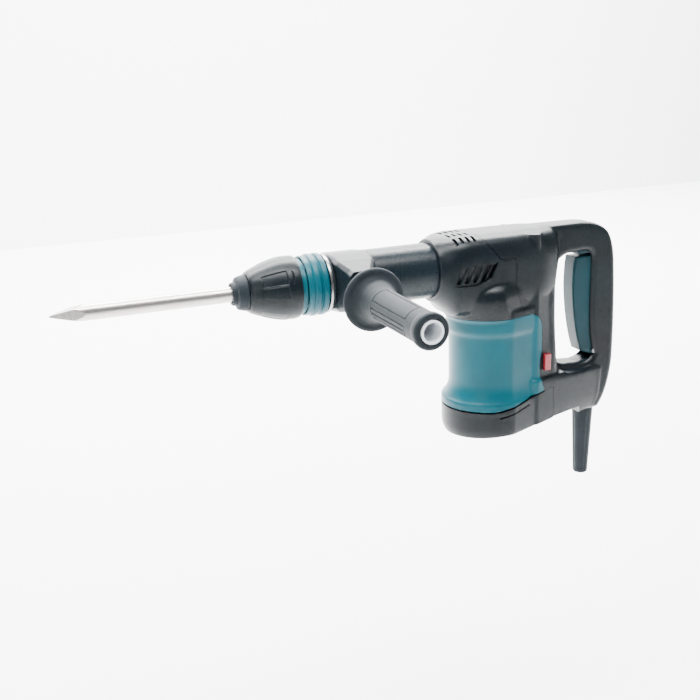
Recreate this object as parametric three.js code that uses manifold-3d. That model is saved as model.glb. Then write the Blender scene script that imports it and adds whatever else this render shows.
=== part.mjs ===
// Demolition hammer whose turning tool holder takes an 18 mm slotted shank, in millimetres, +Z up.
// Inside this file X runs back along the barrel from the mouth of the tool holder, Y is across
// (the side handle stands on -Y) and Z is up from the barrel's axis. The exported group puts the
// origin on the flat underside of the base cover, straight below the motor shaft.
import * as THREE from 'three';
import { mergeVertices } from 'three/addons/utils/BufferGeometryUtils.js';
import Module from 'manifold-3d';

const wasm = await Module();
wasm.setup();

// ---- driving dimensions ----
const gap = 0.4;            // between pieces that touch
const run = 0.4;            // radial clearance of a turning or sliding fit
const wall = 3;             // moulded shells
const sliver = 0.02;        // edges shorter than this, left by the cuts, are closed up

const tipX = -195;          // chisel
const pointLength = 42;
const shaftR = 8.5;
const shankR = 9;
const shankEndX = 84;
const chiselPlay = 10;      // it slides forward this far before the rollers stop it

const holderR = 15;         // tool holder
const holderFrontX = 3;
const holderBackX = 124;
const rollerR = 3.5;
const rollerX = 36;
const rollerLength = 10;

const sleeveFrontX = 9.8;   // release sleeve
const sleeveBackX = 64.5;
const sleeveR = 35;
const carrierFrontX = 63;   // fixed collar between the sleeve and the change ring
const carrierBackX = 70.9;
const carrierR = 30.6;
const ringFrontX = 71.4;    // change ring
const ringBackX = 95.5;
const ringR = 34.5;

const barrelFrontX = 103;   // barrel and impact mechanism
const barrelBackX = 248;
const barrelR = 32;
const cylinderBoreR = 17.5;
const cylinderR = 21.5;
const cylinderFrontX = 126;
const cylinderBackX = 262;
const boltFrontX = 88.5;
const strikerFrontX = 135;
const strikerLength = 37;
const pistonLength = 28;
const rodLength = 62;
const crankThrow = 12;

const crankX = 282;         // gear train
const gearTeeth = 32;
const pinionTeeth = 8;
const toothModule = 1.4;

const coverW = 44;          // upper housing: half width, top
const coverTop = 39.8;
const motorR = 50;          // motor casing and base
const baseFlare = 8;
const casingTop = -57.5;
const casingBottom = -171;
const baseBottom = -200;
const baseRise = 4.5;       // degrees that the underside rises to the rear

const gripFrontX = 441;     // D handle
const gripBackX = 479.5;
const gripHalfW = 17;
const handleBottom = -205;
const leverReach = 23;      // trigger lever stands this far out of the grip
const leverTop = -4;
const leverBottom = -131;
const lockTravel = 5;

const sideX = 123;          // side handle
const sideZ = -3;
const bossFace = 54;
const flangeR = 34;
const sideGripR = 16.5;
const sideGripEnd = 224;

const guardX = 446;         // cord guard
const guardLength = 90;
const guardTopR = 13;
const guardEndR = 8.8;

// ---- worked out ----
const motorX = crankX + toothModule * (gearTeeth + pinionTeeth) / 2;
const casingDeep = motorR + 5;   // the front is a little longer than round
const casingFrontX = motorX + 2 - casingDeep;
const casingBackX = motorX + 48;
const wristX = crankX - crankThrow - rodLength;
const strikerBackX = strikerFrontX + strikerLength;
const pistonFrontX = wristX - 18;

// ---- solids ----
function toSolid(geometry) {
  const bare = geometry.index ? geometry.toNonIndexed() : geometry.clone();
  bare.deleteAttribute('normal');
  bare.deleteAttribute('uv');
  const merged = mergeVertices(bare, 1e-3);
  const p = merged.attributes.position.array;
  const faces = [];
  let volume = 0;
  for (let i = 0; i < merged.index.count; i += 3) {
    const [a, b, c] = [0, 1, 2].map((k) => merged.index.array[i + k]);
    if (a === b || b === c || c === a) continue;
    faces.push([a, b, c]);
    const [ax, ay, az, bx, by, bz, cx, cy, cz] =
      [a, b, c].flatMap((v) => [p[3 * v], p[3 * v + 1], p[3 * v + 2]]);
    volume += ax * (by * cz - bz * cy) + ay * (bz * cx - bx * cz) + az * (bx * cy - by * cx);
  }
  if (volume < 0) faces.forEach((f) => f.reverse());
  return new wasm.Manifold(new wasm.Mesh({
    numProp: 3, vertProperties: p, triVerts: new Uint32Array(faces.flat()),
  }));
}

function toGeometry(solid) {
  const mesh = solid.simplify(sliver).getMesh();
  const positions = new Float32Array(3 * mesh.numVert);
  for (let i = 0; i < mesh.numVert; i += 1) {
    for (let k = 0; k < 3; k += 1) positions[3 * i + k] = mesh.vertProperties[mesh.numProp * i + k];
  }
  const geometry = new THREE.BufferGeometry();
  geometry.setAttribute('position', new THREE.BufferAttribute(positions, 3));
  geometry.setIndex(new THREE.BufferAttribute(new Uint32Array(mesh.triVerts), 1));
  geometry.computeVertexNormals();
  return geometry;
}

const cut = (solid, ...tools) => tools.reduce((s, t) => s.subtract(t), solid);
const join = (solid, ...others) => others.reduce((s, t) => s.add(t), solid);

function box(x0, x1, y0, y1, z0, z1) {
  const geometry = new THREE.BoxGeometry(x1 - x0, y1 - y0, z1 - z0);
  geometry.translate((x0 + x1) / 2, (y0 + y1) / 2, (z0 + z1) / 2);
  return toSolid(geometry);
}

// A solid of revolution. profile is [distance along the axis, radius] pairs, closed by the axis
// or on itself; turned about X, Y or Z through the point at.
function turned(axis, profile, at = [0, 0, 0], sides = 20, closed = false) {
  const points = profile.map(([along, r]) => new THREE.Vector2(r, along));
  if (closed) points.push(points[0].clone());
  const geometry = new THREE.LatheGeometry(points, sides);
  if (axis === 'x') geometry.rotateZ(-Math.PI / 2);
  if (axis === 'z') geometry.rotateX(Math.PI / 2);
  geometry.translate(...at);
  return toSolid(geometry);
}

const rod = (axis, r, a, b, at, sides = 16) => turned(axis, [[a, 0], [a, r], [b, r], [b, 0]], at, sides);

const tube = (axis, rIn, rOut, a, b, at, sides = 20) =>
  turned(axis, [[a, rIn], [a, rOut], [b, rOut], [b, rIn]], at, sides, true);

// A closed skin over sections that all have the same number of points.
function loft(sections) {
  const n = sections[0].length;
  const positions = sections.flat().flatMap((v) => [v.x, v.y, v.z]);
  const faces = [];
  for (let s = 0; s < sections.length - 1; s += 1) {
    for (let i = 0; i < n; i += 1) {
      const j = (i + 1) % n;
      const [a, b] = [s * n + i, s * n + j];
      faces.push(a, b, b + n, a, b + n, a + n);
    }
  }
  for (const [s, flip] of [[0, true], [sections.length - 1, false]]) {
    const middle = sections[s].reduce((m, v) => m.add(v), new THREE.Vector3()).divideScalar(n);
    const centre = positions.length / 3;
    positions.push(middle.x, middle.y, middle.z);
    for (let i = 0; i < n; i += 1) {
      const [a, b] = [s * n + i, s * n + (i + 1) % n];
      faces.push(...(flip ? [centre, b, a] : [centre, a, b]));
    }
  }
  const geometry = new THREE.BufferGeometry();
  geometry.setAttribute('position', new THREE.Float32BufferAttribute(positions, 3));
  geometry.setIndex(faces);
  return toSolid(geometry);
}

// A side-view outline of [x, z] points, stretched across from y0 to y1.
function slab(outline, y0, y1) {
  const shape = new THREE.Shape(outline.map(([x, z]) => new THREE.Vector2(x, z)));
  const geometry = new THREE.ExtrudeGeometry(shape, { depth: y1 - y0, bevelEnabled: false });
  geometry.rotateX(Math.PI / 2);
  geometry.translate(0, y1, 0);
  return toSolid(geometry);
}

// ---- outer form ----
const power = (v, e) => Math.sign(v) * Math.abs(v) ** e;

// Cross-section of the upper housing at x: a squared ellipse.
function crossSection(x, halfW, top, bottom, squareness, inset) {
  const points = [];
  const [w, h, mid] = [halfW - inset, (top - bottom) / 2 - inset, (top + bottom) / 2];
  for (let i = 0; i < 24; i += 1) {
    const a = (2 * Math.PI * (i + 0.5)) / 24;
    const e = 2 / squareness;
    points.push(new THREE.Vector3(x, w * power(Math.cos(a), e), mid + h * power(Math.sin(a), e)));
  }
  return points;
}

// Plan outline at z: a round front, straight sides and a narrower rear with round corners.
function planSection(z, frontX, round, halfW, backX, backHalfW, corner, inset) {
  const points = [];
  for (let i = 0; i <= 8; i += 1) {
    const a = -Math.PI / 2 + (Math.PI * i) / 8;
    points.push([frontX + round - (round - inset) * Math.cos(a), (halfW - inset) * Math.sin(a)]);
  }
  const [bx, bw] = [backX - inset, backHalfW - inset];
  const r = Math.max(Math.min(corner, bw - 1) - inset, 1);
  for (const side of [1, -1]) {
    for (let i = 0; i <= 2; i += 1) {
      const a = (Math.PI / 2) * (side > 0 ? 1 - i / 2 : i / 2);
      points.push([bx - r + r * Math.cos(a), side * (bw - r + r * Math.sin(a))]);
    }
  }
  return points.map(([x, y]) => new THREE.Vector3(x, y, z));
}

const between = (v, low, high) => Math.min(Math.max(v, low), high);

function upperBody(inset) {
  const mouthR = barrelR + gap + wall;
  const sections = [
    [226, mouthR, mouthR, -mouthR, 2],
    [236, 40, coverTop - 1.6, -43, 2.6],
    [248, coverW - 0.5, coverTop - 0.5, -54, 3.4],
    [300, coverW, coverTop, -54, 3.6],
    [352, coverW - 2, coverTop, -54, 3.4],
    [378, 34, coverTop - 1, -50, 3],
    [390, 22, coverTop - 2, -44, 2.6],
  ];
  return loft(sections.map(([x, w, top, bottom, n]) =>
    crossSection(Math.min(x, 390 - inset), w, top, bottom, n, inset)));
}

function belly(inset) {
  const rows = [[-18, 252, 45], [-24, 247, 51], [-34, 245, 53.5], [-45, 248, 53], [-60, 253, 51]];
  return loft(rows.map(([z, front, w]) =>
    planSection(between(z, -60 + inset, -18 - inset), front, 54, w, 388, 26, 14, inset)));
}

function casing(inset) {
  const rows = [
    [-50, 0.6], [-60, 1.4], [-74, 1.6], [-80, -1.4], [-142, -1.5], [-153, 0.5], [-163, baseFlare - 1],
    [-174, baseFlare],
  ];
  return loft(rows.map(([z, grow]) => planSection(between(z, -174 + inset, -50 - inset),
    casingFrontX - grow, casingDeep + grow, motorR + grow * 0.8, 384, 34, 14, inset)));
}

function baseBody(inset) {
  const grow = baseFlare;
  const rows = [[-160, -0.4], [-168, 0], [-190, 0], [-198, -1], [-210, -6]];
  return loft(rows.map(([z, more]) => planSection(between(z, -210, -160 - inset),
    casingFrontX - grow - more, casingDeep + grow + more, motorR + 6 + more, 384, 38, 14, inset)));
}

function rearColumn(inset) {
  const rows = [[36, 384, 22], [20, 387, 30], [-20, 388, 33], [-80, 389, 34], [-130, 391, 36], [-200, 396, 36]];
  return loft(rows.map(([z, back, w]) =>
    planSection(between(z, -200 + inset, 36 - inset), 330, 20, coverW - 2, back, w, 18, inset)));
}

function tail(inset) {
  const rows = [[-141, 452, 18], [-150, 466, 19], [-180, 464, 19], [-198, 458, 18], [-204, 450, 14]];
  return loft(rows.map(([z, back, w]) =>
    planSection(between(z, -204 + inset, -141 - inset), 330, 20, 46, back, w, 12, inset)));
}

// D handle, side view: outline of the loop and of its opening, as [x, z] points.
function loopOutline() {
  const shape = new THREE.Shape();
  shape.moveTo(350, coverTop);
  shape.lineTo(426, coverTop - 0.6);
  shape.quadraticCurveTo(452, coverTop - 2, 465, 25);
  shape.quadraticCurveTo(475, 12, gripBackX - 3, -18);
  shape.quadraticCurveTo(gripBackX + 1, -72, gripBackX, -140);
  shape.quadraticCurveTo(gripBackX - 4, -180, gripBackX - 20, handleBottom + 2);
  shape.lineTo(gripBackX - 34, handleBottom);
  shape.lineTo(400, handleBottom + 3);
  shape.lineTo(350, handleBottom + 10);
  return shape.getPoints(4);
}

function openingOutline() {
  const shape = new THREE.Shape();
  shape.moveTo(388, -30);
  shape.quadraticCurveTo(386, -4, 408, 2);
  shape.lineTo(gripFrontX - 8, 3);
  shape.quadraticCurveTo(gripFrontX, 2, gripFrontX, -8);
  shape.lineTo(gripFrontX, -70);
  shape.quadraticCurveTo(gripFrontX + 1, -110, gripFrontX + 8, -130);
  shape.quadraticCurveTo(gripFrontX + 2, -138, gripFrontX - 12, -139);
  shape.lineTo(406, -137);
  shape.quadraticCurveTo(393, -134, 391, -118);
  shape.lineTo(389, -80);
  return shape.getPoints(3);
}

// Moves each point of a closed outline inwards by d.
function inward(points, d) {
  const turn = Math.sign(THREE.ShapeUtils.area(points));
  return points.map((p, i) => {
    const before = points[(i + points.length - 1) % points.length];
    const after = points[(i + 1) % points.length];
    const along = after.clone().sub(before).normalize();
    return new THREE.Vector2(p.x - turn * along.y * d, p.y + turn * along.x * d);
  });
}

const atY = (points, y) => points.map((p) => new THREE.Vector3(p.x, y, p.y));

function loop(inset) {
  const half = gripHalfW - inset;
  const rows = [[-half, 6], [-half + 3, 2], [-half + 8, 0], [half - 8, 0], [half - 3, 2], [half, 6]];
  const outside = loft(rows.map(([y, round]) => atY(inward(loopOutline(), round + inset), y)));
  const holes = [[-60, 9], [-half, 6], [-half + 3, 2], [-half + 8, 0], [half - 8, 0], [half - 3, 2],
    [half, 6], [60, 9]];
  const opening = loft(holes.map(([y, round]) => atY(inward(openingOutline(), -round - inset), y)));
  return { outside, opening };
}

function wholeBody(inset) {
  const { outside, opening } = loop(inset);
  const body = join(upperBody(inset), belly(inset), casing(inset), baseBody(inset), rearColumn(inset),
    tail(inset), outside);
  return body.subtract(opening);
}

// ---- split lines, side view ----
const far = 90;
const riseAt = (x) => baseBottom + Math.tan((baseRise * Math.PI) / 180) * (x - motorX);

function arc(cx, cz, r, from, to, steps = 6) {
  return Array.from({ length: steps + 1 }, (_, i) => {
    const a = ((from + ((to - from) * i) / steps) * Math.PI) / 180;
    return [cx + r * Math.cos(a), cz + r * Math.sin(a)];
  });
}

function casingRegion(grow) {
  const back = casingBackX + grow;
  const top = casingTop + grow;
  const low = casingBottom - grow;
  return slab([
    [200, top], ...arc(casingBackX - 20, casingTop - 20, 20 + grow, 90, 0),
    [back, -108], [back - 3, -126], [back + 2, low + 14], [motorX - 22, low], [200, low],
  ], -far, far);
}

function baseRegion(grow) {
  return slab([
    [200, casingBottom + 2 + grow], [motorX - 22, casingBottom + 2 + grow],
    [casingBackX + 8 + grow, casingBottom + 17 + grow], [casingBackX + 18 + grow, casingBottom + 17 + grow],
    [casingBackX + 18 + grow, -230], [200, -230],
  ], -far, far);
}

function frontRegion(grow) {
  return slab([
    [200, 60], [262 + grow, 60], [283 + grow, 31], [299 + grow, 12 + grow], [319 + grow, 11 + grow],
    [319 + grow, -18], [327 + grow, -56 - gap], [330, -90], [200, -90],
  ], -far, far);
}

const underside = () => slab([
  [180, riseAt(180)], [500, riseAt(500)], [500, -260], [180, -260],
], -far, far);

// Behind the base the underside steps up, and comes down again round the cord guard.
const rearUnderside = (raised = 0) => slab([
  [casingBackX + 18, -193.6 + raised], [424, -192.4 + raised], [428.5, handleBottom + 0.5 + raised],
  [500, handleBottom + 0.5 + raised], [500, -260], [casingBackX + 18, -260],
], -far, far);

function louvres() {
  const slots = [];
  for (let i = 0; i < 4; i += 1) {
    const x = 246 + 10.5 * i;
    slots.push(slab([[x, -12], [x + 5, -12], [x + 12, 6], [x + 7, 6]], -far, far));
  }
  return slots;
}

function topVents() {
  const slots = [];
  for (const [y0, y1] of [[-35, -23], [-17, -4], [4, 17], [23, 35]]) {
    for (let i = 0; i < 4; i += 1) slots.push(box(245.5 + 7.5 * i, 249.3 + 7.5 * i, y0, y1, 20, 60));
  }
  return slots;
}

// ---- housing pieces ----
const outer = wholeBody(0);
const inner = wholeBody(wall).subtract(rearUnderside(wall));
const shell = outer.subtract(inner);
const halfGap = gap / 2;

function frontCover() {
  const mouth = rod('x', barrelR + gap, 200, 245, [0, 0, 0], 28);
  return cut(shell.intersect(frontRegion(-halfGap)), casingRegion(halfGap), mouth, ...louvres(), ...topVents());
}

function motorCasing() {
  return cut(shell.intersect(casingRegion(-halfGap)), baseRegion(halfGap));
}

function baseCover() {
  const region = baseRegion(-halfGap).subtract(casingRegion(0));
  const body = outer.subtract(inner).intersect(region);
  const floor = outer.intersect(region).intersect(slab([
    [180, riseAt(180) - 1], [500, riseAt(500) - 1], [500, riseAt(500) + wall], [180, riseAt(180) + wall],
  ], -far, far));
  const seat = tube('z', bearingR + gap, bearingR + 4, baseBottom + 1, lowerBearingZ + 8, [motorX, 0, 0]);
  const screws = baseScrewPlaces.map(([x, y]) => rod('z', screwR + gap, -230, -150, [x, y, 0], 8));
  const heads = baseScrewPlaces.map(([x, y]) =>
    rod('z', screwHeadR + gap, -230, riseAt(x) + 3 + gap, [x, y, 0], 12));
  const posts = baseScrewPlaces.map(([x, y]) => rod('z', screwHeadR + 2.4, -210, -172, [x, y, 0], 10));
  const solid = join(body, floor, seat, ...posts.map((p) => p.intersect(outer)));
  return cut(solid.subtract(underside()), ...screws, ...heads);
}

// Both rear shells: side is -1 for the one beside the side handle, 1 for the other.
function rearShell(side) {
  const half = side < 0 ? box(200, 520, -far, -halfGap, -260, 80) : box(200, 520, halfGap, far, -260, 80);
  const lever = box(gripFrontX - leverReach - 8, gripFrontX + 17, -leverHalfW - gap, leverHalfW + gap,
    leverBottom - 6, leverTop + 3);
  const lock = box(lockFrontX - lockTravel - 1.4, lockBackX + 1.4, -leverHalfW - gap, leverHalfW + gap,
    leverTop, lockTopZ + gap);
  const pin = rod('y', leverPinR + 0.35, -gripHalfW + 1.6, gripHalfW - 1.6, [leverPinX, 0, leverPinZ], 16);
  const guardHole = rod('z', guardTopR + gap, -230, -190, [guardX, 0, 0], 28);
  const lampHole = box(lampX - lampHalfW - gap, lampX + lampHalfW + gap, -far, -lampY + 6, lampZ - 10 - gap, lampZ + 10 + gap);
  const bosses = handleScrewPlaces.map(([x, z]) => rod('y', 6, -40, 40, [x, 0, z], 10));
  const bores = handleScrewPlaces.map(([x, z]) => rod('y', screwR + gap, -12, far, [x, 0, z], 8));
  const heads = handleScrewPlaces.map(([x, z], i) =>
    rod('y', screwHeadR + gap, handleScrewHeadY[i] - gap, far, [x, 0, z], 12));
  const hollow = join(shell, ...bosses.map((b) => b.intersect(outer)));
  return cut(hollow.intersect(half), frontRegion(halfGap), casingRegion(halfGap), baseRegion(halfGap),
    rearUnderside(), lever, lock, pin, guardHole, ...(side < 0 ? [lampHole] : []), ...bores, ...heads);
}

// ---- small shared sizes ----
const bearingR = 12;
const lowerBearingZ = -190;
const screwR = 2.5;
const screwHeadR = 4.5;
const leverHalfW = 12;
const leverPinR = 3;
const leverPinX = gripFrontX + 9;
const leverPinZ = leverBottom + 5;
const lockFrontX = gripFrontX - 18;
const lockBackX = gripFrontX + 6;
const lockTopZ = leverTop + 13;
const lampX = casingBackX + 6.5;
const lampHalfW = 4;
const lampZ = -120;
const lampY = 43;
const baseScrewPlaces = [[motorX - 42, 0], [motorX + 40, -32], [motorX + 40, 32]];
const handleScrewPlaces = [[372, 23], [461, -171]];
const handleScrewHeadY = [26, 10];

function screw(axis, length, at, towards = 1) {
  const [a, b] = towards > 0 ? [0, length] : [-length, 0];
  const head = towards > 0 ? [length, length + 3] : [-length - 3, -length];
  const socket = towards > 0 ? [length + 1.4, length + 4] : [-length - 4, -length - 1.4];
  return cut(join(rod(axis, screwR, a, b, at, 8), rod(axis, screwHeadR, ...head, at, 12)),
    rod(axis, 2, ...socket, at, 6));
}

// ---- crank case ----
const caseFrontX = barrelBackX + gap;
const caseBackX = motorX + 36;
const gearChamberR = toothModule * (gearTeeth / 2 + 1) + 0.8;
const caseHalfW = 32;
const floorTop = -46;
const webTop = -23;
const webBottom = -31;
const caseTop = coverTop - wall - 10.8;

function crankCase() {
  const body = join(
    box(caseFrontX, caseBackX, -caseHalfW, caseHalfW, -36, caseTop),
    rod('z', gearChamberR + 3.4, floorTop - 3.4, -30, [crankX, 0, 0], 24),
    box(crankX, caseBackX, 2 - caseHalfW, caseHalfW - 2, floorTop - 3.4, -36),
    rod('z', bearingR + 5, floorTop - 8, floorTop, [crankX, 0, 0], 20),
    rod('z', bearingR + 4, floorTop - 8, floorTop, [motorX, 0, 0], 20),
    rod('x', cylinderR + 4, caseFrontX, caseFrontX + 12, [0, 0, 0], 20),
  );
  const upper = box(caseFrontX + 7, caseBackX - 5, -caseHalfW + 4, caseHalfW - 4, webTop, caseTop + 10);
  const lower = join(rod('z', gearChamberR, floorTop, webBottom, [crankX, 0, 0], 24),
    box(crankX, caseBackX - 5, 6 - caseHalfW, caseHalfW - 6, floorTop, webBottom));
  return cut(body, upper, lower,
    rod('x', cylinderR + run, caseFrontX - 10, caseFrontX + 20, [0, 0, 0], 28),
    rod('z', bearingR + 1 + run, -60, webTop + 1, [crankX, 0, 0], 20),
    rod('z', bearingR + run, -60, floorTop + 1, [motorX, 0, 0], 20),
    ...barrelScrewPlaces.map(([y, z]) => rod('x', screwR + gap, 200, caseFrontX + 20, [0, y, z], 8)));
}

const barrelScrewPlaces = [[-26, -20], [-26, 20], [26, -20], [26, 20]];

function caseLid() {
  return join(box(caseFrontX, caseBackX, 1.5 - caseHalfW, caseHalfW - 1.5, caseTop + gap, caseTop + 3.4),
    box(caseFrontX + 8, caseBackX - 6, 5 - caseHalfW, caseHalfW - 5, caseTop - 3, caseTop + 3.4));
}

// ---- barrel ----
function boss(side) {
  const section = (y, x0, x1, z0, z1, c) => [[x0 + c, z0], [x1 - c, z0], [x1, z0 + c], [x1, z1 - c],
    [x1 - c, z1], [x0 + c, z1], [x0, z1 - c], [x0, z0 + c]].map(([x, z]) => new THREE.Vector3(x, side * y, z));
  return loft([
    section(8, barrelFrontX, sideX + 26, 0.4 - barrelR, barrelR - 0.4, 4),
    section(bossFace - 26, barrelFrontX, sideX + 26, 3.5 - barrelR, barrelR - 3.5, 4),
    section(bossFace - 6, sideX - 14, sideX + 17, -22.5, 22.5, 5),
    section(bossFace, sideX - 13, sideX + 16, -21, 21, 5),
  ]);
}

function barrel() {
  const tubeBody = turned('x', [[barrelFrontX, 0], [barrelFrontX, barrelR - 2], [barrelFrontX + 2, barrelR],
    [barrelBackX - 6, barrelR], [barrelBackX - 6, barrelR + 2.6], [barrelBackX, barrelR + 2.6], [barrelBackX, 0]], [0, 0, 0], 28);
  const solid = join(tubeBody, boss(-1), boss(1));
  return cut(solid, rod('x', cylinderR + run, 90, 260, [0, 0, 0], 28),
    rod('y', sideBoltR + run, -60, -bossFace + 17, [sideX, 0, sideZ], 20),
    rod('y', sideBoltR + run, bossFace - 17, 60, [sideX, 0, sideZ], 20),
    ...barrelScrewPlaces.map(([y, z]) => rod('x', screwR + gap, barrelBackX - 10, 260, [0, y, z], 12)),
    ...barrelScrewPlaces.map(([y, z]) => rod('x', screwHeadR + 1, 200, barrelBackX - 5, [0, y, z], 12)));
}

// The bore opens out at the rear, where the connecting rod swings.
function cylinder() {
  const holes = [-1, 1].map((s) => rod('z', 2, s > 0 ? 0 : -40, s > 0 ? 40 : 0, [180, 0, 0], 10));
  const body = turned('x', [[cylinderFrontX, cylinderBoreR], [cylinderFrontX, cylinderR],
    [cylinderBackX, cylinderR], [cylinderBackX, cylinderR - 1.4], [cylinderBackX - 16, cylinderBoreR]], [0, 0, 0], 24, true);
  return cut(body, ...holes);
}

// ---- nose ----
function chisel() {
  const body = turned('x', [[tipX, 0], [tipX, shaftR], [8, shaftR], [12, shankR], [shankEndX, shankR],
    [shankEndX, 0]], [0, 0, 0], 24);
  const flare = shaftR * 1.16;
  const point = loft([
    [[-0.7, -0.7], [0.7, -0.7], [0.7, 0.7], [-0.7, 0.7]].map(([y, z]) => new THREE.Vector3(tipX, y, z)),
    [[-1, -1], [1, -1], [1, 1], [-1, 1]].map(([y, z]) =>
      new THREE.Vector3(tipX + pointLength, y * flare, z * flare)),
    [[-1, -1], [1, -1], [1, 1], [-1, 1]].map(([y, z]) =>
      new THREE.Vector3(shankEndX + 1, y * flare, z * flare)),
  ]);
  const [a, b] = [rollerX - rollerLength / 2 - 0.6, rollerX + rollerLength / 2 + chiselPlay + 0.6];
  const grooves = [-1, 1].map((s) => box(a, b, -4.2, 4.2, s > 0 ? 6.6 : -12, s > 0 ? 12 : -6.6));
  const keys = [-1, 1].map((s) => box(54, 90, s > 0 ? 6.8 : -12, s > 0 ? 12 : -6.8, -2.4, 2.4));
  return cut(body.intersect(point), ...grooves, ...keys);
}

function toolHolder() {
  const body = turned('x', [[holderFrontX, shankR + run], [holderFrontX, holderR], [carrierFrontX, holderR],
    [carrierFrontX, 19], [ringBackX - 2, 19], [ringBackX - 2, holderR], [holderBackX, holderR],
    [holderBackX, 12.5], [86, 12.5], [86, shankR + run]], [0, 0, 0], 20, true);
  const slots = [-1, 1].map((s) => box(rollerX - rollerLength / 2 - gap, rollerX + rollerLength / 2 + gap,
    -rollerR - gap, rollerR + gap, s > 0 ? 2 : -30, s > 0 ? 30 : -2));
  const keys = [-1, 1].map((s) => box(62, 78, s > 0 ? 7.4 : -10.5, s > 0 ? 10.5 : -7.4, -1.9, 1.9));
  return join(cut(body, ...slots), ...keys);
}

function roller(side) {
  return rod('x', rollerR, rollerX - rollerLength / 2, rollerX + rollerLength / 2, [0, 0, side * 10.6], 16);
}

const noseCap = () => turned('x', [[-7, 9.9], [-7, 12.2], [-2, 13.2], [-1, 17.5], [4, 19], [9.4, 20],
  [9.4, holderR + gap], [holderFrontX - gap, holderR + gap], [holderFrontX - gap, 9.9]], [0, 0, 0], 24, true);

const releaseSleeve = () => turned('x', [[sleeveFrontX, 16.5], [sleeveFrontX, 21.5], [15, 24], [43, 33.8],
  [47, sleeveR], [sleeveBackX, sleeveR], [sleeveBackX, ringR - 1], [52, ringR - 1], [50, 28], [42, 27],
  [24, 21.5], [20, 16.5]], [0, 0, 0], 28, true);

function sleeveSpring() {
  const turns = 3;
  const path = new THREE.CatmullRomCurve3(Array.from({ length: turns * 8 + 1 }, (_, i) => {
    const a = (2 * Math.PI * i) / 8;
    return new THREE.Vector3(50.5 + (10.5 * i) / (turns * 8), 17.6 * Math.cos(a), 17.6 * Math.sin(a));
  }));
  const wire = new THREE.Shape(Array.from({ length: 5 }, (_, i) =>
    new THREE.Vector2(1.1 * Math.cos((2 * Math.PI * i) / 5), 1.1 * Math.sin((2 * Math.PI * i) / 5))));
  return toSolid(new THREE.ExtrudeGeometry(wire, { steps: turns * 10, extrudePath: path, bevelEnabled: false }));
}

// Its hollow front passes over the carrier, and its thin front edge goes inside the sleeve.
function changeRing() {
  const low = ringR - 2.2;
  const recess = carrierR + run;
  const profile = [[ringFrontX, recess], [ringFrontX, ringR - 1.9], [ringFrontX + 0.6, ringR - 1.4],
    [ringFrontX + 5.6, ringR - 1.4]];
  for (const x of [ringFrontX + 6.4, ringFrontX + 16.2]) {
    profile.push([x, low], [x + 0.8, ringR], [x + 6.8, ringR], [x + 7.6, low]);
  }
  profile.push([ringBackX, low], [ringBackX, 19.4], [ringFrontX + 6.2, 19.4], [ringFrontX + 6.2, recess]);
  return turned('x', profile, [0, 0, 0], 24, true);
}
const ringCarrier = () => tube('x', 19.4, carrierR, carrierFrontX + 0.4, carrierBackX, [0, 0, 0], 24);

// ---- impact mechanism ----
const impactBolt = () => turned('x', [[boltFrontX, 0], [boltFrontX, 8], [100.5, 8], [101, 12], [120, 12],
  [122, 9.5], [strikerFrontX - 0.6, 9.5], [strikerFrontX - 0.6, 0]]);

const striker = () => turned('x', [[strikerFrontX, 0], [strikerFrontX, 9], [strikerFrontX + 6, 10],
  [strikerFrontX + 7, 16.9], [155, 16.9], [155, 15], [158, 15], [158, 16.9], [strikerBackX, 16.9],
  [strikerBackX, 13], [164, 12], [164, 0]], [0, 0, 0], 24);

function piston() {
  const body = turned('x', [[pistonFrontX, 0], [pistonFrontX, 16.9], [pistonFrontX + 5, 16.9],
    [pistonFrontX + 5, 15], [pistonFrontX + 8, 15], [pistonFrontX + 8, 16.9],
    [pistonFrontX + pistonLength, 16.9], [pistonFrontX + pistonLength, 0]], [0, 0, 0], 24);
  return cut(body, box(wristX - 8.5, 300, -13, 13, -4.6, 4.6), rod('z', 4 + run, -20, 20, [wristX, 0, 0], 16));
}

function conRod() {
  const eye = (x, r) => rod('z', r, -4, 4, [x, 0, 0], 24);
  return cut(join(eye(wristX, 7.5), eye(wristX + rodLength, 9.5), box(wristX, wristX + rodLength, -4.5, 4.5, -4, 4)),
    rod('z', 4 + run, -9, 9, [wristX, 0, 0], 16), rod('z', 4.5 + run, -9, 9, [wristX + rodLength, 0, 0], 16));
}

// The crank pin ends just under the rod's eye: the linkage is opened there.
function crankshaft() {
  return join(rod('z', 7, -53, -19, [crankX, 0, 0], 20),
    rod('z', crankThrow + 7, -20, -10, [crankX, 0, 0], 32),
    rod('z', 4.5, -11, -4 - gap, [crankX - crankThrow, 0, 0], 16));
}

// Straight-flanked teeth on a disc about a vertical axis, one tooth centred at angle first.
function gear(teeth, z0, z1, at, first) {
  const pitchR = (toothModule * teeth) / 2;
  const [tipR, rootR] = [pitchR + 0.85 * toothModule, pitchR - 1.2 * toothModule];
  const shape = new THREE.Shape();
  for (let i = 0; i < teeth; i += 1) {
    const middle = first + (2 * Math.PI * i) / teeth;
    const [wide, narrow] = [(0.27 * Math.PI * toothModule) / rootR, (0.1 * Math.PI * toothModule) / tipR];
    for (const [r, a] of [[rootR, -wide], [tipR, -narrow], [tipR, narrow], [rootR, wide]]) {
      const [x, y] = [r * Math.cos(middle + a), r * Math.sin(middle + a)];
      if (i === 0 && r === rootR && a < 0) shape.moveTo(x, y);
      else shape.lineTo(x, y);
    }
  }
  const geometry = new THREE.ExtrudeGeometry(shape, { depth: z1 - z0, bevelEnabled: false });
  geometry.translate(at[0], at[1], z0);
  return toSolid(geometry);
}

const gearZ = [-44, -34];
const crankGear = () => cut(gear(gearTeeth, ...gearZ, [crankX, 0], 0), rod('z', 7 + gap, -60, 0, [crankX, 0, 0], 20));

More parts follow.
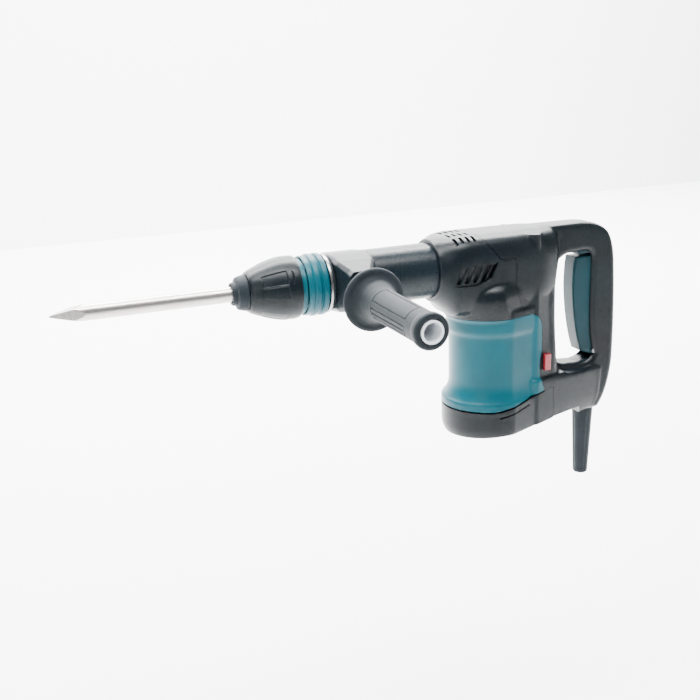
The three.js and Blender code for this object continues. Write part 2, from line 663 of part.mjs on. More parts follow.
// ---- motor ----
function armatureShaft() {
  const body = join(rod('z', 5, -192, gearZ[0] - 0.6, [motorX, 0, 0], 20),
    rod('z', 3.4, gearZ[0] - 1, webBottom - 1.4, [motorX, 0, 0], 16));
  return join(body, gear(pinionTeeth, ...gearZ, [motorX, 0], Math.PI / pinionTeeth + Math.PI));
}

const bearing = (r, z0, z1, x, hole) => tube('z', hole, r, z0, z1, [x, 0, 0]);
const coreZ = [-145, -95];

function armatureCore() {
  const slots = Array.from({ length: 11 }, (_, i) => {
    const slot = box(20, 30, -1.2, 1.2, coreZ[0] - 1, coreZ[1] + 1);
    return slot.rotate([0, 0, (360 * i) / 11]).translate([motorX, 0, 0]);
  });
  return cut(tube('z', 5 + gap, 25, ...coreZ, [motorX, 0, 0], 22), ...slots);
}

const commutator = () => tube('z', 5 + gap, 14, -174, -154, [motorX, 0, 0], 24);

function fan() {
  const blades = Array.from({ length: 7 }, (_, i) =>
    box(9, 32, -1, 1, -79, -69).rotate([0, 0, (360 * i) / 7]).translate([motorX, 0, 0]));
  const disc = tube('z', 5 + gap, 32, -71, -69, [motorX, 0, 0], 22);
  const hub = tube('z', 5 + gap, 10, -79, -69, [motorX, 0, 0], 24);
  return cut(join(disc, hub, ...blades), rod('z', 5 + gap, -90, -60, [motorX, 0, 0], 24));
}

const fanBaffle = () => tube('z', 28, 42.5, -85, -83, [motorX, 0, 0], 24);
const fieldCore = () => tube('z', 30, 41, ...coreZ, [motorX, 0, 0], 24);

function fieldCoil(side) {
  const ring = (z0, z1) => tube('z', 27, 38, z0, z1, [motorX, 0, 0], 24);
  const leg = tube('z', 26.3, 29.4, coreZ[0] - 7, coreZ[1] + 7, [motorX, 0, 0], 24);
  const half = side < 0 ? box(200, 420, -far, -1, -260, 0) : box(200, 420, 1, far, -260, 0);
  const middle = box(motorX - 15, motorX + 15, -far, far, -260, 0);
  return join(ring(coreZ[0] - 7, coreZ[0] - gap), ring(coreZ[1] + gap, coreZ[1] + 7), leg.intersect(middle))
    .intersect(half);
}

const brushZ = -164;

function brushHolder(side) {
  const [a, b] = side < 0 ? [-42, -17] : [17, 42];
  const [c, d] = side < 0 ? [-44, -15] : [15, 44];
  return cut(box(motorX - 6, motorX + 6, a, b, brushZ - 8, brushZ + 8),
    box(motorX - 4, motorX + 4, c, d, brushZ - 6, brushZ + 6));
}

function brush(side) {
  const [a, b] = side < 0 ? [-28, -14.5] : [14.5, 28];
  return box(motorX - 3.6, motorX + 3.6, a, b, brushZ - 5.6, brushZ + 5.6);
}

// ---- rear handle pieces ----
function triggerLever() {
  const front = gripFrontX - leverReach;
  const outline = [[front + 3, leverTop], [gripFrontX + 4, leverTop], [gripFrontX + 5, -60],
    [gripFrontX + 14, leverBottom + 1], [gripFrontX + 8, leverBottom], [front + 15, leverBottom + 6],
    [front + 8, -100], [front + 2, -70], [front, -40], [front + 0.5, -14]];
  const edges = [[-leverHalfW, 3], [-leverHalfW + 2.5, 0.8], [-leverHalfW + 5, 0], [leverHalfW - 5, 0],
    [leverHalfW - 2.5, 0.8], [leverHalfW, 3]];
  const points = outline.map(([x, z]) => new THREE.Vector2(x, z));
  return cut(loft(edges.map(([y, d]) => atY(inward(points, d), y))),
    rod('y', leverPinR + run, -20, 20, [leverPinX, 0, leverPinZ], 16));
}

const leverPin = () => rod('y', leverPinR, -gripHalfW + 2.2, gripHalfW - 2.2, [leverPinX, 0, leverPinZ], 16);

function lockSlider() {
  const points = [[lockFrontX, leverTop + 3.4], [lockBackX, leverTop + 3.4], [lockBackX, lockTopZ - gap],
    [lockFrontX + 5, lockTopZ - gap], [lockFrontX, lockTopZ - 5]].map(([x, z]) => new THREE.Vector2(x, z));
  const edges = [[-leverHalfW, 1.6], [-leverHalfW + 2, 0], [leverHalfW - 2, 0], [leverHalfW, 1.6]];
  return loft(edges.map(([y, d]) => atY(inward(points, d), y)));
}

function switchBody() {
  const half = gripHalfW - wall - gap;
  const [front, back] = [gripFrontX + 18, gripBackX - wall - 4];
  return join(box(front, back, -half + 4.6, half - 4.6, -78, -34), box(front + 4, back - 4, -half, half, -70, -42));
}

function indicatorLamp() {
  return join(box(lampX - lampHalfW, lampX + lampHalfW, -lampY + 1, -lampY + 5, lampZ - 10, lampZ + 10),
    box(lampX - lampHalfW + 1, lampX + lampHalfW - 1, -lampY - 1.2, -lampY + 2, lampZ - 8, lampZ + 8));
}

function cordGuard() {
  const top = handleBottom + 4;
  const end = handleBottom - guardLength;
  const profile = [[end, 5.2], [end, guardEndR], [end + 2, guardEndR + 0.6]];
  profile.push([handleBottom - 4, guardTopR], [top - gap, guardTopR], [top - gap, guardTopR - 3],
    [top + 3, guardTopR - 3], [top + 3, guardTopR + 0.1], [top + 8, guardTopR - 1], [top + 8, 5.2]);
  return turned('z', profile, [guardX, 0, 0], 14, true);
}

// ---- side handle ----
const sideBoltR = 6;
const boltSeatY = 100;   // the bolt's head bears on the inner end of the grip's bore
const gripBoreR = 11.9;
const linerBoreR = 9.2;

function sideGrip() {
  const profile = [[-bossFace - gap, sideBoltR + run], [-bossFace - gap, 14], [-64, 16], [-80, 22], [-83, flangeR - 2],
    [-86, flangeR], [-89, flangeR - 1], [-91, flangeR - 5], [-93, 24], [-99, 19], [-112, 17.6],
    [-150, 17.6], [-sideGripEnd + 12, sideGripR], [-sideGripEnd + 9, sideGripR + 1.8],
    [-sideGripEnd + 2, sideGripR + 1.8],
    [-sideGripEnd, sideGripR], [-sideGripEnd, gripBoreR], [-boltSeatY, gripBoreR], [-boltSeatY, sideBoltR + run]];
  return turned('y', profile, [sideX, 0, sideZ], 20, true);
}

const gripLiner = () => tube('y', linerBoreR, gripBoreR - 0.4, -sideGripEnd - 1, -boltSeatY - 0.4, [sideX, 0, sideZ], 24);
const sideBolt = () => join(rod('y', sideBoltR, -boltSeatY - 0.5, -bossFace + 15, [sideX, 0, sideZ], 20),
  rod('y', linerBoreR - 0.6, -boltSeatY - 8, -boltSeatY - 0.4, [sideX, 0, sideZ], 6));

// ---- the assembly ----
const finishes = {
  black: { color: 0x2e3a44, roughness: 0.5, metalness: 0 },
  rubber: { color: 0x3a4650, roughness: 0.8, metalness: 0 },
  teal: { color: 0x0b7f9a, roughness: 0.4, metalness: 0 },
  white: { color: 0xe6e8ea, roughness: 0.5, metalness: 0 },
  red: { color: 0xb5484c, roughness: 0.3, metalness: 0 },
  steel: { color: 0xc4c2c0, roughness: 0.35, metalness: 1 },
  cast: { color: 0x8d9296, roughness: 0.55, metalness: 0.9 },
  painted: { color: 0x46525c, roughness: 0.45, metalness: 0.4 },
  copper: { color: 0xb06a3a, roughness: 0.4, metalness: 1 },
  carbon: { color: 0x2a2a2c, roughness: 0.7, metalness: 0 },
};

const hammer = new THREE.Group();
hammer.position.set(-motorX, 0, -baseBottom);

function add(name, solid, finish) {
  const mesh = new THREE.Mesh(toGeometry(solid), new THREE.MeshStandardMaterial(finishes[finish]));
  mesh.name = name;
  hammer.add(mesh);
}

add('front_cover', frontCover(), 'black');
add('motor_casing', motorCasing(), 'teal');
add('base_cover', baseCover(), 'black');
add('rear_shell_left', rearShell(-1), 'black');
add('rear_shell_right', rearShell(1), 'black');
add('barrel', barrel(), 'painted');
add('crank_case', crankCase(), 'cast');
add('crank_case_lid', caseLid(), 'cast');
add('cylinder', cylinder(), 'steel');
add('front_bearing', tube('x', holderR + run, cylinderR - 0.1, 105, 118, [0, 0, 0]), 'steel');
add('retaining_ring', tube('x', holderR + run, 33, 96.4, 99.6, [0, 0, 0], 28), 'steel');
add('dust_ring', tube('x', holderR + run, 31, 100, 102.6, [0, 0, 0], 28), 'rubber');

add('chisel', chisel(), 'steel');
add('tool_holder', toolHolder(), 'steel');
add('nose_cap', noseCap(), 'rubber');
add('release_sleeve', releaseSleeve(), 'black');
add('sleeve_spring', sleeveSpring(), 'steel');
add('ring_carrier', ringCarrier(), 'teal');
add('change_ring', changeRing(), 'teal');
add('locking_roller_upper', roller(1), 'steel');
add('locking_roller_lower', roller(-1), 'steel');
add('impact_bolt', impactBolt(), 'steel');
add('striker', striker(), 'steel');
add('striker_ring', tube('x', 15.3, 17.1, 155.4, 157.6, [0, 0, 0]), 'rubber');
add('piston', piston(), 'cast');
add('piston_ring', tube('x', 15.3, 17.1, pistonFrontX + 5.4, pistonFrontX + 7.6, [0, 0, 0]), 'rubber');
add('wrist_pin', rod('z', 4, -15, 15, [wristX, 0, 0], 16), 'steel');
add('connecting_rod', conRod(), 'steel');
add('crankshaft', crankshaft(), 'steel');
add('crank_gear', crankGear(), 'steel');
add('crank_bearing_upper', bearing(bearingR + 1, webBottom, webTop, crankX, 7 + gap), 'steel');
add('crank_bearing_lower', bearing(bearingR + 1, -53, floorTop, crankX, 7 + gap), 'steel');

add('armature_shaft', armatureShaft(), 'steel');
add('armature_core', armatureCore(), 'cast');
add('commutator', commutator(), 'copper');
add('fan', fan(), 'black');
add('armature_bearing_upper', bearing(bearingR, -53, floorTop, motorX, 5 + gap), 'steel');
add('armature_bearing_lower', bearing(bearingR, lowerBearingZ, lowerBearingZ + 8, motorX, 5 + gap), 'steel');
add('fan_baffle', fanBaffle(), 'black');
add('field_core', fieldCore(), 'cast');
add('field_coil_left', fieldCoil(-1), 'copper');
add('field_coil_right', fieldCoil(1), 'copper');
for (const [word, side] of [['left', -1], ['right', 1]]) {
  add(`brush_holder_${word}`, brushHolder(side), 'copper');
  add(`carbon_brush_${word}`, brush(side), 'carbon');
}

add('trigger_lever', triggerLever(), 'teal');
add('trigger_pin', leverPin(), 'steel');
add('lock_slider', lockSlider(), 'teal');
add('switch_body', switchBody(), 'black');
add('indicator_lamp', indicatorLamp(), 'red');
add('cord_guard', cordGuard(), 'rubber');

add('side_grip', sideGrip(), 'rubber');
add('grip_liner', gripLiner(), 'white');
add('side_bolt', sideBolt(), 'steel');

baseScrewPlaces.forEach(([x, y], i) => {
  add(`base_screw_${i + 1}`, screw('z', -riseAt(x) - 3 - 172, [x, y, -172], -1), 'steel');
});
handleScrewPlaces.forEach(([x, z], i) => {
  add(`handle_screw_${i + 1}`, screw('y', handleScrewHeadY[i] + 8, [x, -8, z]), 'steel');
});

export default hammer;
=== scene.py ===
import math
import bpy
import numpy as np
from mathutils import Matrix, Vector


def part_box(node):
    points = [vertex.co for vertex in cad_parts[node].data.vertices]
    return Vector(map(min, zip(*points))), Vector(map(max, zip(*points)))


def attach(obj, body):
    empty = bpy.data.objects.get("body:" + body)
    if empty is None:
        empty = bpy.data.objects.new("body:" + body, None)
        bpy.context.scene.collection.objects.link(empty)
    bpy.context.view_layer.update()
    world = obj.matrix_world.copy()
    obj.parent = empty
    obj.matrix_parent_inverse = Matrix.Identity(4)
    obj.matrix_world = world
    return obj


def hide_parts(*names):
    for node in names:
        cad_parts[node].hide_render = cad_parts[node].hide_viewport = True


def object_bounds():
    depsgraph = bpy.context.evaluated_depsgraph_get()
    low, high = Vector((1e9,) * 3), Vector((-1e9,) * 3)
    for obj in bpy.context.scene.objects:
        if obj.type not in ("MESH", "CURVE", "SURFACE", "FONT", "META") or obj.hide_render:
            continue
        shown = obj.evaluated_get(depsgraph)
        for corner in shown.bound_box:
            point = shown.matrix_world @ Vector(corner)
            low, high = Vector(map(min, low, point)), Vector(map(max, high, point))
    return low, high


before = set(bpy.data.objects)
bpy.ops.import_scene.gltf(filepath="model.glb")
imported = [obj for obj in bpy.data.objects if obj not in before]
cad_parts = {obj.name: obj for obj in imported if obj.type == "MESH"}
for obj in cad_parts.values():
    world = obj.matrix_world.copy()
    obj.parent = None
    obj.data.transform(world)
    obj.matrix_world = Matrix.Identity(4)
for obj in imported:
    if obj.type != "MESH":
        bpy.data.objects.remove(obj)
cadLow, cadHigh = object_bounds()

# Places below are in millimetres, in the maker's own directions: x back from the holder's mouth,
# y across, z up from the barrel's axis. toFrame turns them into the frame's metres.
barrelLow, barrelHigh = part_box("barrel")
axisHeight = (barrelLow.z + barrelHigh.z) / 2
sleeveInset = 0.0098  # from the holder's mouth back to the front of the sleeve
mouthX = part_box("release_sleeve")[0].x - sleeveInset


def toFrame(points):
    p = np.asarray(points, float) / 1000
    return p + np.array([mouthX, 0, axisHeight])


camera = {"place": (-247.2, -981.9, 242.9), "azimuth": -20.88, "elevation": 17.18, "roll": -2.13,
          "lens": 49.44}


def addCamera(spec):
    turn, lift, roll = (math.radians(spec[k]) for k in ("azimuth", "elevation", "roll"))
    back = Vector((math.sin(turn) * math.cos(lift), -math.cos(turn) * math.cos(lift), math.sin(lift)))
    right = (-back).cross(Vector((0, 0, 1))).normalized()
    up = right.cross(-back)
    right, up = (right * math.cos(roll) + up * math.sin(roll), up * math.cos(roll) - right * math.sin(roll))
    data = bpy.data.cameras.new("camera")
    data.lens = spec["lens"]
    data.sensor_width = 36
    obj = bpy.data.objects.new("camera", data)
    bpy.context.collection.objects.link(obj)
    place = Matrix((right, up, back)).transposed().to_4x4()
    place.translation = Vector(toFrame(spec["place"]))
    obj.matrix_world = place
    bpy.context.scene.camera = obj


def hexToLinear(text):
    values = [int(text[i:i + 2], 16) / 255 for i in (1, 3, 5)]
    return [v / 12.92 if v <= 0.04045 else ((v + 0.055) / 1.055) ** 2.4 for v in values] + [1.0]


def addNode(tree, kind, settings=None, inputs=None, links=None):
    node = tree.nodes.new(kind)
    for key, value in (settings or {}).items():
        setattr(node, key, value)
    for key, value in (inputs or {}).items():
        node.inputs[key].default_value = value
    for key, socket in (links or {}).items():
        tree.links.new(socket, node.inputs[key])
    return node


def addLight(name, place, aim, size, power, colour="#ffffff"):
    data = bpy.data.lights.new(name, "AREA")
    data.shape = "RECTANGLE"
    data.size, data.size_y = size
    data.energy = power
    data.color = hexToLinear(colour)[:3]
    obj = bpy.data.objects.new(name, data)
    bpy.context.collection.objects.link(obj)
    obj.location = Vector(place)
    obj.rotation_euler = (Vector(aim) - Vector(place)).to_track_quat("-Z", "Y").to_euler()


studio = {
    "floorBelow": 0.42, "floorSize": 30, "floorColour": "#fbfbfb", "floorRoughness": 0.9,
    "wallBack": 4.5, "wallHeight": 7, "world": "#eef2f5", "worldStrength": 0.3,
    # place and aim in metres, with x from the object's middle, then the size and the watts
    "washes": {
        "wallWash": ((1, 2.6, 4.2), (1, 4.5, 0.6), (8, 0.6), 1900),
        "floorWash": ((0.5, 1.6, 2.6), (0.5, 1.9, -0.515), (6, 1.2), 520),
    },
    # place in metres, with x and y from the object's middle and aimed at it, then the size and the watts
    "softboxes": {
        "topSoftbox": ((-0.1, -0.3, 1.5), (1.5, 0.4), 62),
        "frontSoftbox": ((-1.2, -1.2, 0.75), (0.12, 1.2), 10),
        "rearFill": ((1.4, -0.9, 0.6), (0.2, 1.2), 3),
        "backRim": ((0.2, 1.5, 1.0), (1.6, 0.5), 8),
    },
}


def addStudio(spec):
    size = spec["floorSize"] / 2
    z = cadLow.z - spec["floorBelow"]
    floorMesh = bpy.data.meshes.new("floor")
    floorMesh.from_pydata([(-size, -size, z), (size, -size, z), (size, size, z), (-size, size, z)], [],
                          [(0, 1, 2, 3)])
    floor = bpy.data.objects.new("floor", floorMesh)
    bpy.context.collection.objects.link(floor)
    material = bpy.data.materials.new("paleFloor")
    material.use_nodes = True
    shader = material.node_tree.nodes["Principled BSDF"]
    shader.inputs["Base Color"].default_value = hexToLinear(spec["floorColour"])
    shader.inputs["Roughness"].default_value = spec["floorRoughness"]
    floorMesh.materials.append(material)
    back, high = spec["wallBack"], spec["wallHeight"]
    wallMesh = bpy.data.meshes.new("wall")
    wallCorners = [(-size, back, z), (size, back, z), (size, back, z + high), (-size, back, z + high)]
    wallMesh.from_pydata(wallCorners, [], [(0, 1, 2, 3)])
    wall = bpy.data.objects.new("wall", wallMesh)
    bpy.context.collection.objects.link(wall)
    wallMesh.materials.append(material)
    world = bpy.data.worlds.new("studio")
    world.use_nodes = True
    world.node_tree.nodes["Background"].inputs[0].default_value = hexToLinear(spec["world"])
    world.node_tree.nodes["Background"].inputs[1].default_value = spec["worldStrength"]
    bpy.context.scene.world = world
    middle = (cadLow + cadHigh) / 2
    for name, (place, aim, boxSize, watts) in spec["washes"].items():
        addLight(name, (middle.x + place[0], *place[1:]), (middle.x + aim[0], *aim[1:]), boxSize, watts)
    for name, (place, boxSize, watts) in spec["softboxes"].items():
        addLight(name, (middle.x + place[0], middle.y + place[1], place[2]), middle, boxSize, watts)


addCamera(camera)
addStudio(studio)
print("stage: camera and studio")


def newMaterial(name):
    material = bpy.data.materials.new(name)
    material.use_nodes = True
    tree = material.node_tree
    shader = tree.nodes["Principled BSDF"]
    place = addNode(tree, "ShaderNodeTexCoord")
    return material, tree, shader, place.outputs["Object"]


def perMetre(millimetres):
    return 1000 / millimetres


# Glass-filled nylon from a spark-eroded mould: satin, with a grain of about a third of a
# millimetre that breaks the highlight up. The grain is drawn at 0.7 mm, as fine as shows.
# mirror is under the usual 0.5, which keeps black parts deep on a bright floor.
def mouldedNylon(name, base, lighter, roughness, grain=0.7, depth=0.00004, mirror=0.2):
    material, tree, shader, place = newMaterial(name)
    shader.inputs["IOR"].default_value = 1.53
    shader.inputs["Specular IOR Level"].default_value = mirror
    cloud = addNode(tree, "ShaderNodeTexNoise", None, {"Scale": perMetre(60), "Detail": 3}, {"Vector": place})
    shades = addNode(tree, "ShaderNodeValToRGB", None, None, {"Fac": cloud.outputs["Fac"]})
    ends = shades.color_ramp.elements
    ends[0].position, ends[1].position = 0.3, 0.75
    ends[0].color = hexToLinear(base)
    ends[1].color = hexToLinear(lighter)
    tree.links.new(shades.outputs["Color"], shader.inputs["Base Color"])
    speck = addNode(tree, "ShaderNodeTexNoise", None, {"Scale": perMetre(grain), "Detail": 2},
                    {"Vector": place})
    rough = addNode(tree, "ShaderNodeMapRange", None,
                    {"From Min": 0.3, "From Max": 0.7, "To Min": roughness - 0.05, "To Max": roughness + 0.06},
                    {"Value": speck.outputs["Fac"]})
    tree.links.new(rough.outputs["Result"], shader.inputs["Roughness"])
    bump = addNode(tree, "ShaderNodeBump", None, {"Strength": 0.35, "Distance": depth * 10},
                   {"Height": speck.outputs["Fac"]})
    tree.links.new(bump.outputs["Normal"], shader.inputs["Normal"])
    return material


# Thermoplastic rubber, moulded matt: no mirror, a soft sheen at grazing angles.
def mouldedRubber(name, base, lighter):
    material = mouldedNylon(name, base, lighter, 0.66, 0.9, 0.00006)
    shader = material.node_tree.nodes["Principled BSDF"]
    shader.inputs["Sheen Weight"].default_value = 0.06
    shader.inputs["Sheen Roughness"].default_value = 0.5
    return material


# Bare steel with marks along or round the work: stretch is the shape of one mark in millimetres.
def machinedSteel(name, base, darker, roughness, stretch, depth=0.00003):
    material, tree, shader, place = newMaterial(name)
    shader.inputs["Metallic"].default_value = 1.0
    scaled = addNode(tree, "ShaderNodeMapping", None, {"Scale": [perMetre(s) for s in stretch]},
                     {"Vector": place})
    marks = addNode(tree, "ShaderNodeTexNoise", None, {"Scale": 1.0, "Detail": 4, "Roughness": 0.6},
                    {"Vector": scaled.outputs["Vector"]})
    shades = addNode(tree, "ShaderNodeValToRGB", None, None, {"Fac": marks.outputs["Fac"]})
    ends = shades.color_ramp.elements
    ends[0].position, ends[1].position = 0.25, 0.7
    ends[0].color = hexToLinear(darker)
    ends[1].color = hexToLinear(base)
    tree.links.new(shades.outputs["Color"], shader.inputs["Base Color"])
    rough = addNode(tree, "ShaderNodeMapRange", None,
                    {"From Min": 0.25, "From Max": 0.75, "To Min": roughness + 0.1, "To Max": roughness - 0.06},
                    {"Value": marks.outputs["Fac"]})
    tree.links.new(rough.outputs["Result"], shader.inputs["Roughness"])
    bump = addNode(tree, "ShaderNodeBump", None, {"Strength": 0.4, "Distance": depth * 10},
                   {"Height": marks.outputs["Fac"]})
    tree.links.new(bump.outputs["Normal"], shader.inputs["Normal"])
    return material


# Clear red polycarbonate over the lamp: glossy, with light inside it.
def lampPlastic(name):
    material, tree, shader, place = newMaterial(name)
    shader.inputs["IOR"].default_value = 1.58
    shader.inputs["Roughness"].default_value = 0.12
    shader.inputs["Coat Weight"].default_value = 0.5
    depth = addNode(tree, "ShaderNodeTexNoise", None, {"Scale": perMetre(5), "Detail": 2}, {"Vector": place})
    shades = addNode(tree, "ShaderNodeValToRGB", None, None, {"Fac": depth.outputs["Fac"]})
    shades.color_ramp.elements[0].color = hexToLinear("#7c1f27")
    shades.color_ramp.elements[1].color = hexToLinear("#9a3038")
    tree.links.new(shades.outputs["Color"], shader.inputs["Base Color"])
    return material


finishes = {
    "blackNylon": mouldedNylon("blackNylonMoulded", "#080e12", "#0d161b", 0.3),
    "sleeveNylon": mouldedNylon("sleeveNylonPolished", "#080f13", "#0e171c", 0.3),
    "tealNylon": mouldedNylon("tealNylonMoulded", "#004450", "#00525e", 0.32),
    "leverNylon": mouldedNylon("leverNylonMoulded", "#01262e", "#033038", 0.38),
    "gripRubber": mouldedRubber("gripRubberMoulded", "#0e161b", "#152026"),
    "guardRubber": mouldedRubber("guardRubberMoulded", "#0d161b", "#142027"),
    "whitePlastic": mouldedNylon("whiteNylonMoulded", "#dfe3e8", "#eef1f4", 0.4),
    "barrelPaint": mouldedNylon("barrelEnamelSprayed", "#0e161b", "#141e24", 0.28, 0.8),
    "chiselSteel": machinedSteel("chiselSteelForged", "#d6d1cd", "#b3adaa", 0.3, (30, 1.2, 1.2)),
    "facetSteel": machinedSteel("chiselSteelGround", "#bdb9b6", "#8f8b88", 0.36, (1.0, 8, 8)),
    "ringSteel": machinedSteel("ringSteelTurned", "#b4b4b4", "#8c8c8c", 0.26, (0.5, 12, 12)),
    "toolSteel": machinedSteel("holderSteelGround", "#8c8f92", "#6c6f72", 0.32, (0.6, 12, 12)),
    "castAlloy": machinedSteel("aluminiumCast", "#5a5d61", "#44474b", 0.55, (2, 2, 2)),
    "coreSteel": machinedSteel("coreSteelStacked", "#6b6e72", "#4c4f53", 0.5, (20, 20, 0.7)),
    "copper": machinedSteel("copperDrawn", "#c8794a", "#9c5a34", 0.35, (8, 8, 0.8)),
    "carbon": mouldedNylon("carbonPressed", "#1c1c1e", "#262628", 0.6),
    "lampRed": lampPlastic("lampPolycarbonate"),
}
print("stage: materials")


def meshObject(name, verts, faces):
    mesh = bpy.data.meshes.new(name)
    mesh.from_pydata([tuple(v) for v in verts], [], [tuple(int(i) for i in f) for f in faces])
    mesh.update()
    obj = bpy.data.objects.new(name, mesh)
    bpy.context.collection.objects.link(obj)
    return obj


# A closed skin over rings of points, all of one length, with one flat face on each end.
def loftRings(name, rings, wrap=False):
    rings = np.asarray(rings, float)
    count, around = rings.shape[:2]
    verts = toFrame(rings.reshape(-1, 3))
    faces = []
    for s in range(count if wrap else count - 1):
        a = s * around
        b = ((s + 1) % count) * around
        for i in range(around):
            j = (i + 1) % around
            faces.append((a + i, a + j, b + j, b + i))
    if not wrap:
        faces.append(range(around - 1, -1, -1))
        faces.append(range((count - 1) * around, count * around))
    obj = meshObject(name, verts, faces)
    if signedVolume(obj.data) < 0:
        obj.data.flip_normals()
    return obj


def signedVolume(mesh):
    mesh.calc_loop_triangles()
    co = np.empty(len(mesh.vertices) * 3)
    mesh.vertices.foreach_get("co", co)
    tri = np.empty(len(mesh.loop_triangles) * 3, int)
    mesh.loop_triangles.foreach_get("vertices", tri)
    a, b, c = co.reshape(-1, 3)[tri.reshape(-1, 3)].transpose(1, 0, 2)
    return float(np.einsum("ij,ij->i", a, np.cross(b, c)).sum())


def applied(obj):
    graph = bpy.context.evaluated_depsgraph_get()
    fresh = bpy.data.meshes.new_from_object(obj.evaluated_get(graph))
    obj.modifiers.clear()
    old = obj.data
    obj.data = fresh
    bpy.data.meshes.remove(old)
    return obj


def combine(obj, tool, operation, keepTool=False):
    step = obj.modifiers.new("step", "BOOLEAN")
    step.operation = operation
    step.solver = "MANIFOLD"
    step.object = tool
    applied(obj)
    if not keepTool:
        bpy.data.objects.remove(tool)
    return obj


def copied(obj, name):
    twin = obj.copy()
    twin.data = obj.data.copy()
    twin.name = name
    bpy.context.collection.objects.link(twin)
    return twin


def joined(objs, name):
    verts, faces, start = [], [], 0
    for obj in objs:
        verts += [v.co[:] for v in obj.data.vertices]
        faces += [[i + start for i in p.vertices] for p in obj.data.polygons]
        start = len(verts)
        bpy.data.objects.remove(obj)
    return meshObject(name, verts, faces)


def remeshed(obj, voxel, rounds):
    remesh = obj.modifiers.new("remesh", "REMESH")
    remesh.mode = "VOXEL"
    remesh.voxel_size = voxel / 1000
    if rounds:
        smooth = obj.modifiers.new("smooth", "SMOOTH")
        smooth.factor = 0.5
        smooth.iterations = rounds
    return applied(obj)


# Smooth shading, with edges over the angle kept crisp and wide flat faces kept flat.
def shaded(obj, angle=32):
    mesh = obj.data
    mesh.polygons.foreach_set("use_smooth", [True] * len(mesh.polygons))
    mesh.set_sharp_from_angle(angle=math.radians(angle))
    weighted = obj.modifiers.new("weighted", "WEIGHTED_NORMAL")
    weighted.keep_sharp = True
    return applied(obj)


def finished(obj, body, finish, nodes, angle=32):
    obj.data.materials.clear()
    obj.data.materials.append(finishes[finish])
    shaded(obj, angle)
    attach(obj, body)
    if nodes:
        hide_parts(*nodes)
    return obj


# Rows of numbers, led by the place along, filled in smoothly without overshoot.
def smoothRows(rows, step):
    rows = np.asarray(rows, float)
    x = rows[:, 0]
    places = np.unique(np.concatenate([x, np.arange(x[0], x[-1], step)]))
    out = [places]
    for column in rows[:, 1:].T:
        slope = np.diff(column) / np.diff(x)
        tangent = np.zeros(len(x))
        tangent[0], tangent[-1] = slope[0], slope[-1]
        for i in range(1, len(x) - 1):
            if slope[i - 1] * slope[i] > 0:
                tangent[i] = 2 / (1 / slope[i - 1] + 1 / slope[i])
        k = np.clip(np.searchsorted(x, places, side="right") - 1, 0, len(x) - 2)
        h = x[k + 1] - x[k]
        t = (places - x[k]) / h
        out.append((1 + 2 * t) * (1 - t) ** 2 * column[k] + t * (1 - t) ** 2 * h * tangent[k]
                   + t * t * (3 - 2 * t) * column[k + 1] + t * t * (t - 1) * h * tangent[k + 1])
    return np.stack(out, 1)


def powered(v, e):
    return np.sign(v) * np.abs(v) ** e


def crossRing(x, halfW, top, bottom, squareness, around=120):
    a = 2 * math.pi * (np.arange(around) + 0.5) / around
    e = 2 / squareness
    y = halfW * powered(np.cos(a), e)
    z = (top + bottom) / 2 + (top - bottom) / 2 * powered(np.sin(a), e)
    return np.stack([np.full(around, x), y, z], 1)


# A round front, sides that lean in and a rear with round corners.
def planRing(z, front, deep, halfW, back, backHalfW, corner, around=48):
    a = np.linspace(-math.pi / 2, math.pi / 2, around)
    points = [(front + deep - deep * math.cos(t), halfW * math.sin(t)) for t in a]
    r = min(corner, backHalfW - 1)
    for side in (1, -1):
        for t in np.linspace(0, 1, 9):
            turn = math.pi / 2 * (1 - t if side > 0 else t)
            points.append((back - r + r * math.cos(turn), side * (backHalfW - r + r * math.sin(turn))))
    return [(x, y, z) for x, y in points]


def curveThrough(start, steps, divisions=8):
    points = [np.array(start, float)]
    for step in steps:
        if len(step) == 1:
            points.append(np.array(step[0], float))
            continue
        bend, end = (np.array(p, float) for p in step)
        origin = points[-1]
        for t in np.linspace(0, 1, divisions + 1)[1:]:
            points.append((1 - t) ** 2 * origin + 2 * t * (1 - t) * bend + t * t * end)
    return np.array(points)


def inward(points, d):
    points = np.asarray(points, float)
    before, after = np.roll(points, 1, 0), np.roll(points, -1, 0)
    along = after - before
    along /= np.linalg.norm(along, axis=1)[:, None]
    area = np.sum(points[:, 0] * np.roll(points[:, 1], -1) - np.roll(points[:, 0], -1) * points[:, 1])
    turn = np.sign(area)
    return points + d * turn * np.stack([-along[:, 1], along[:, 0]], 1)


def sideRing(points, y):
    return [(x, y, z) for x, z in points]


# A side-view outline stretched across, its edges rounded by the radius.
def roundedSlab(name, outline, y0, y1, radius, steps=6):
    rings = []
    turns = np.linspace(0, math.pi / 2, steps + 1) if radius else [math.pi / 2]
    for side in (0, 1):
        for t in (turns if side == 0 else list(turns)[::-1]):
            d = radius * (1 - math.sin(t))
            y = y0 + radius * (1 - math.cos(t)) if side == 0 else y1 - radius * (1 - math.cos(t))
            rings.append(sideRing(inward(outline, d) if d else outline, y))
    return loftRings(name, rings)


def slab(name, outline, y0=-90, y1=90):
    return loftRings(name, [sideRing(np.asarray(outline, float), y0), sideRing(np.asarray(outline, float), y1)])


def block(name, x0, x1, y0, y1, z0, z1):
    return slab(name, [(x0, z0), (x1, z0), (x1, z1), (x0, z1)], y0, y1)


axes = {"x": (0, 1, 2), "y": (1, 2, 0), "z": (2, 0, 1)}


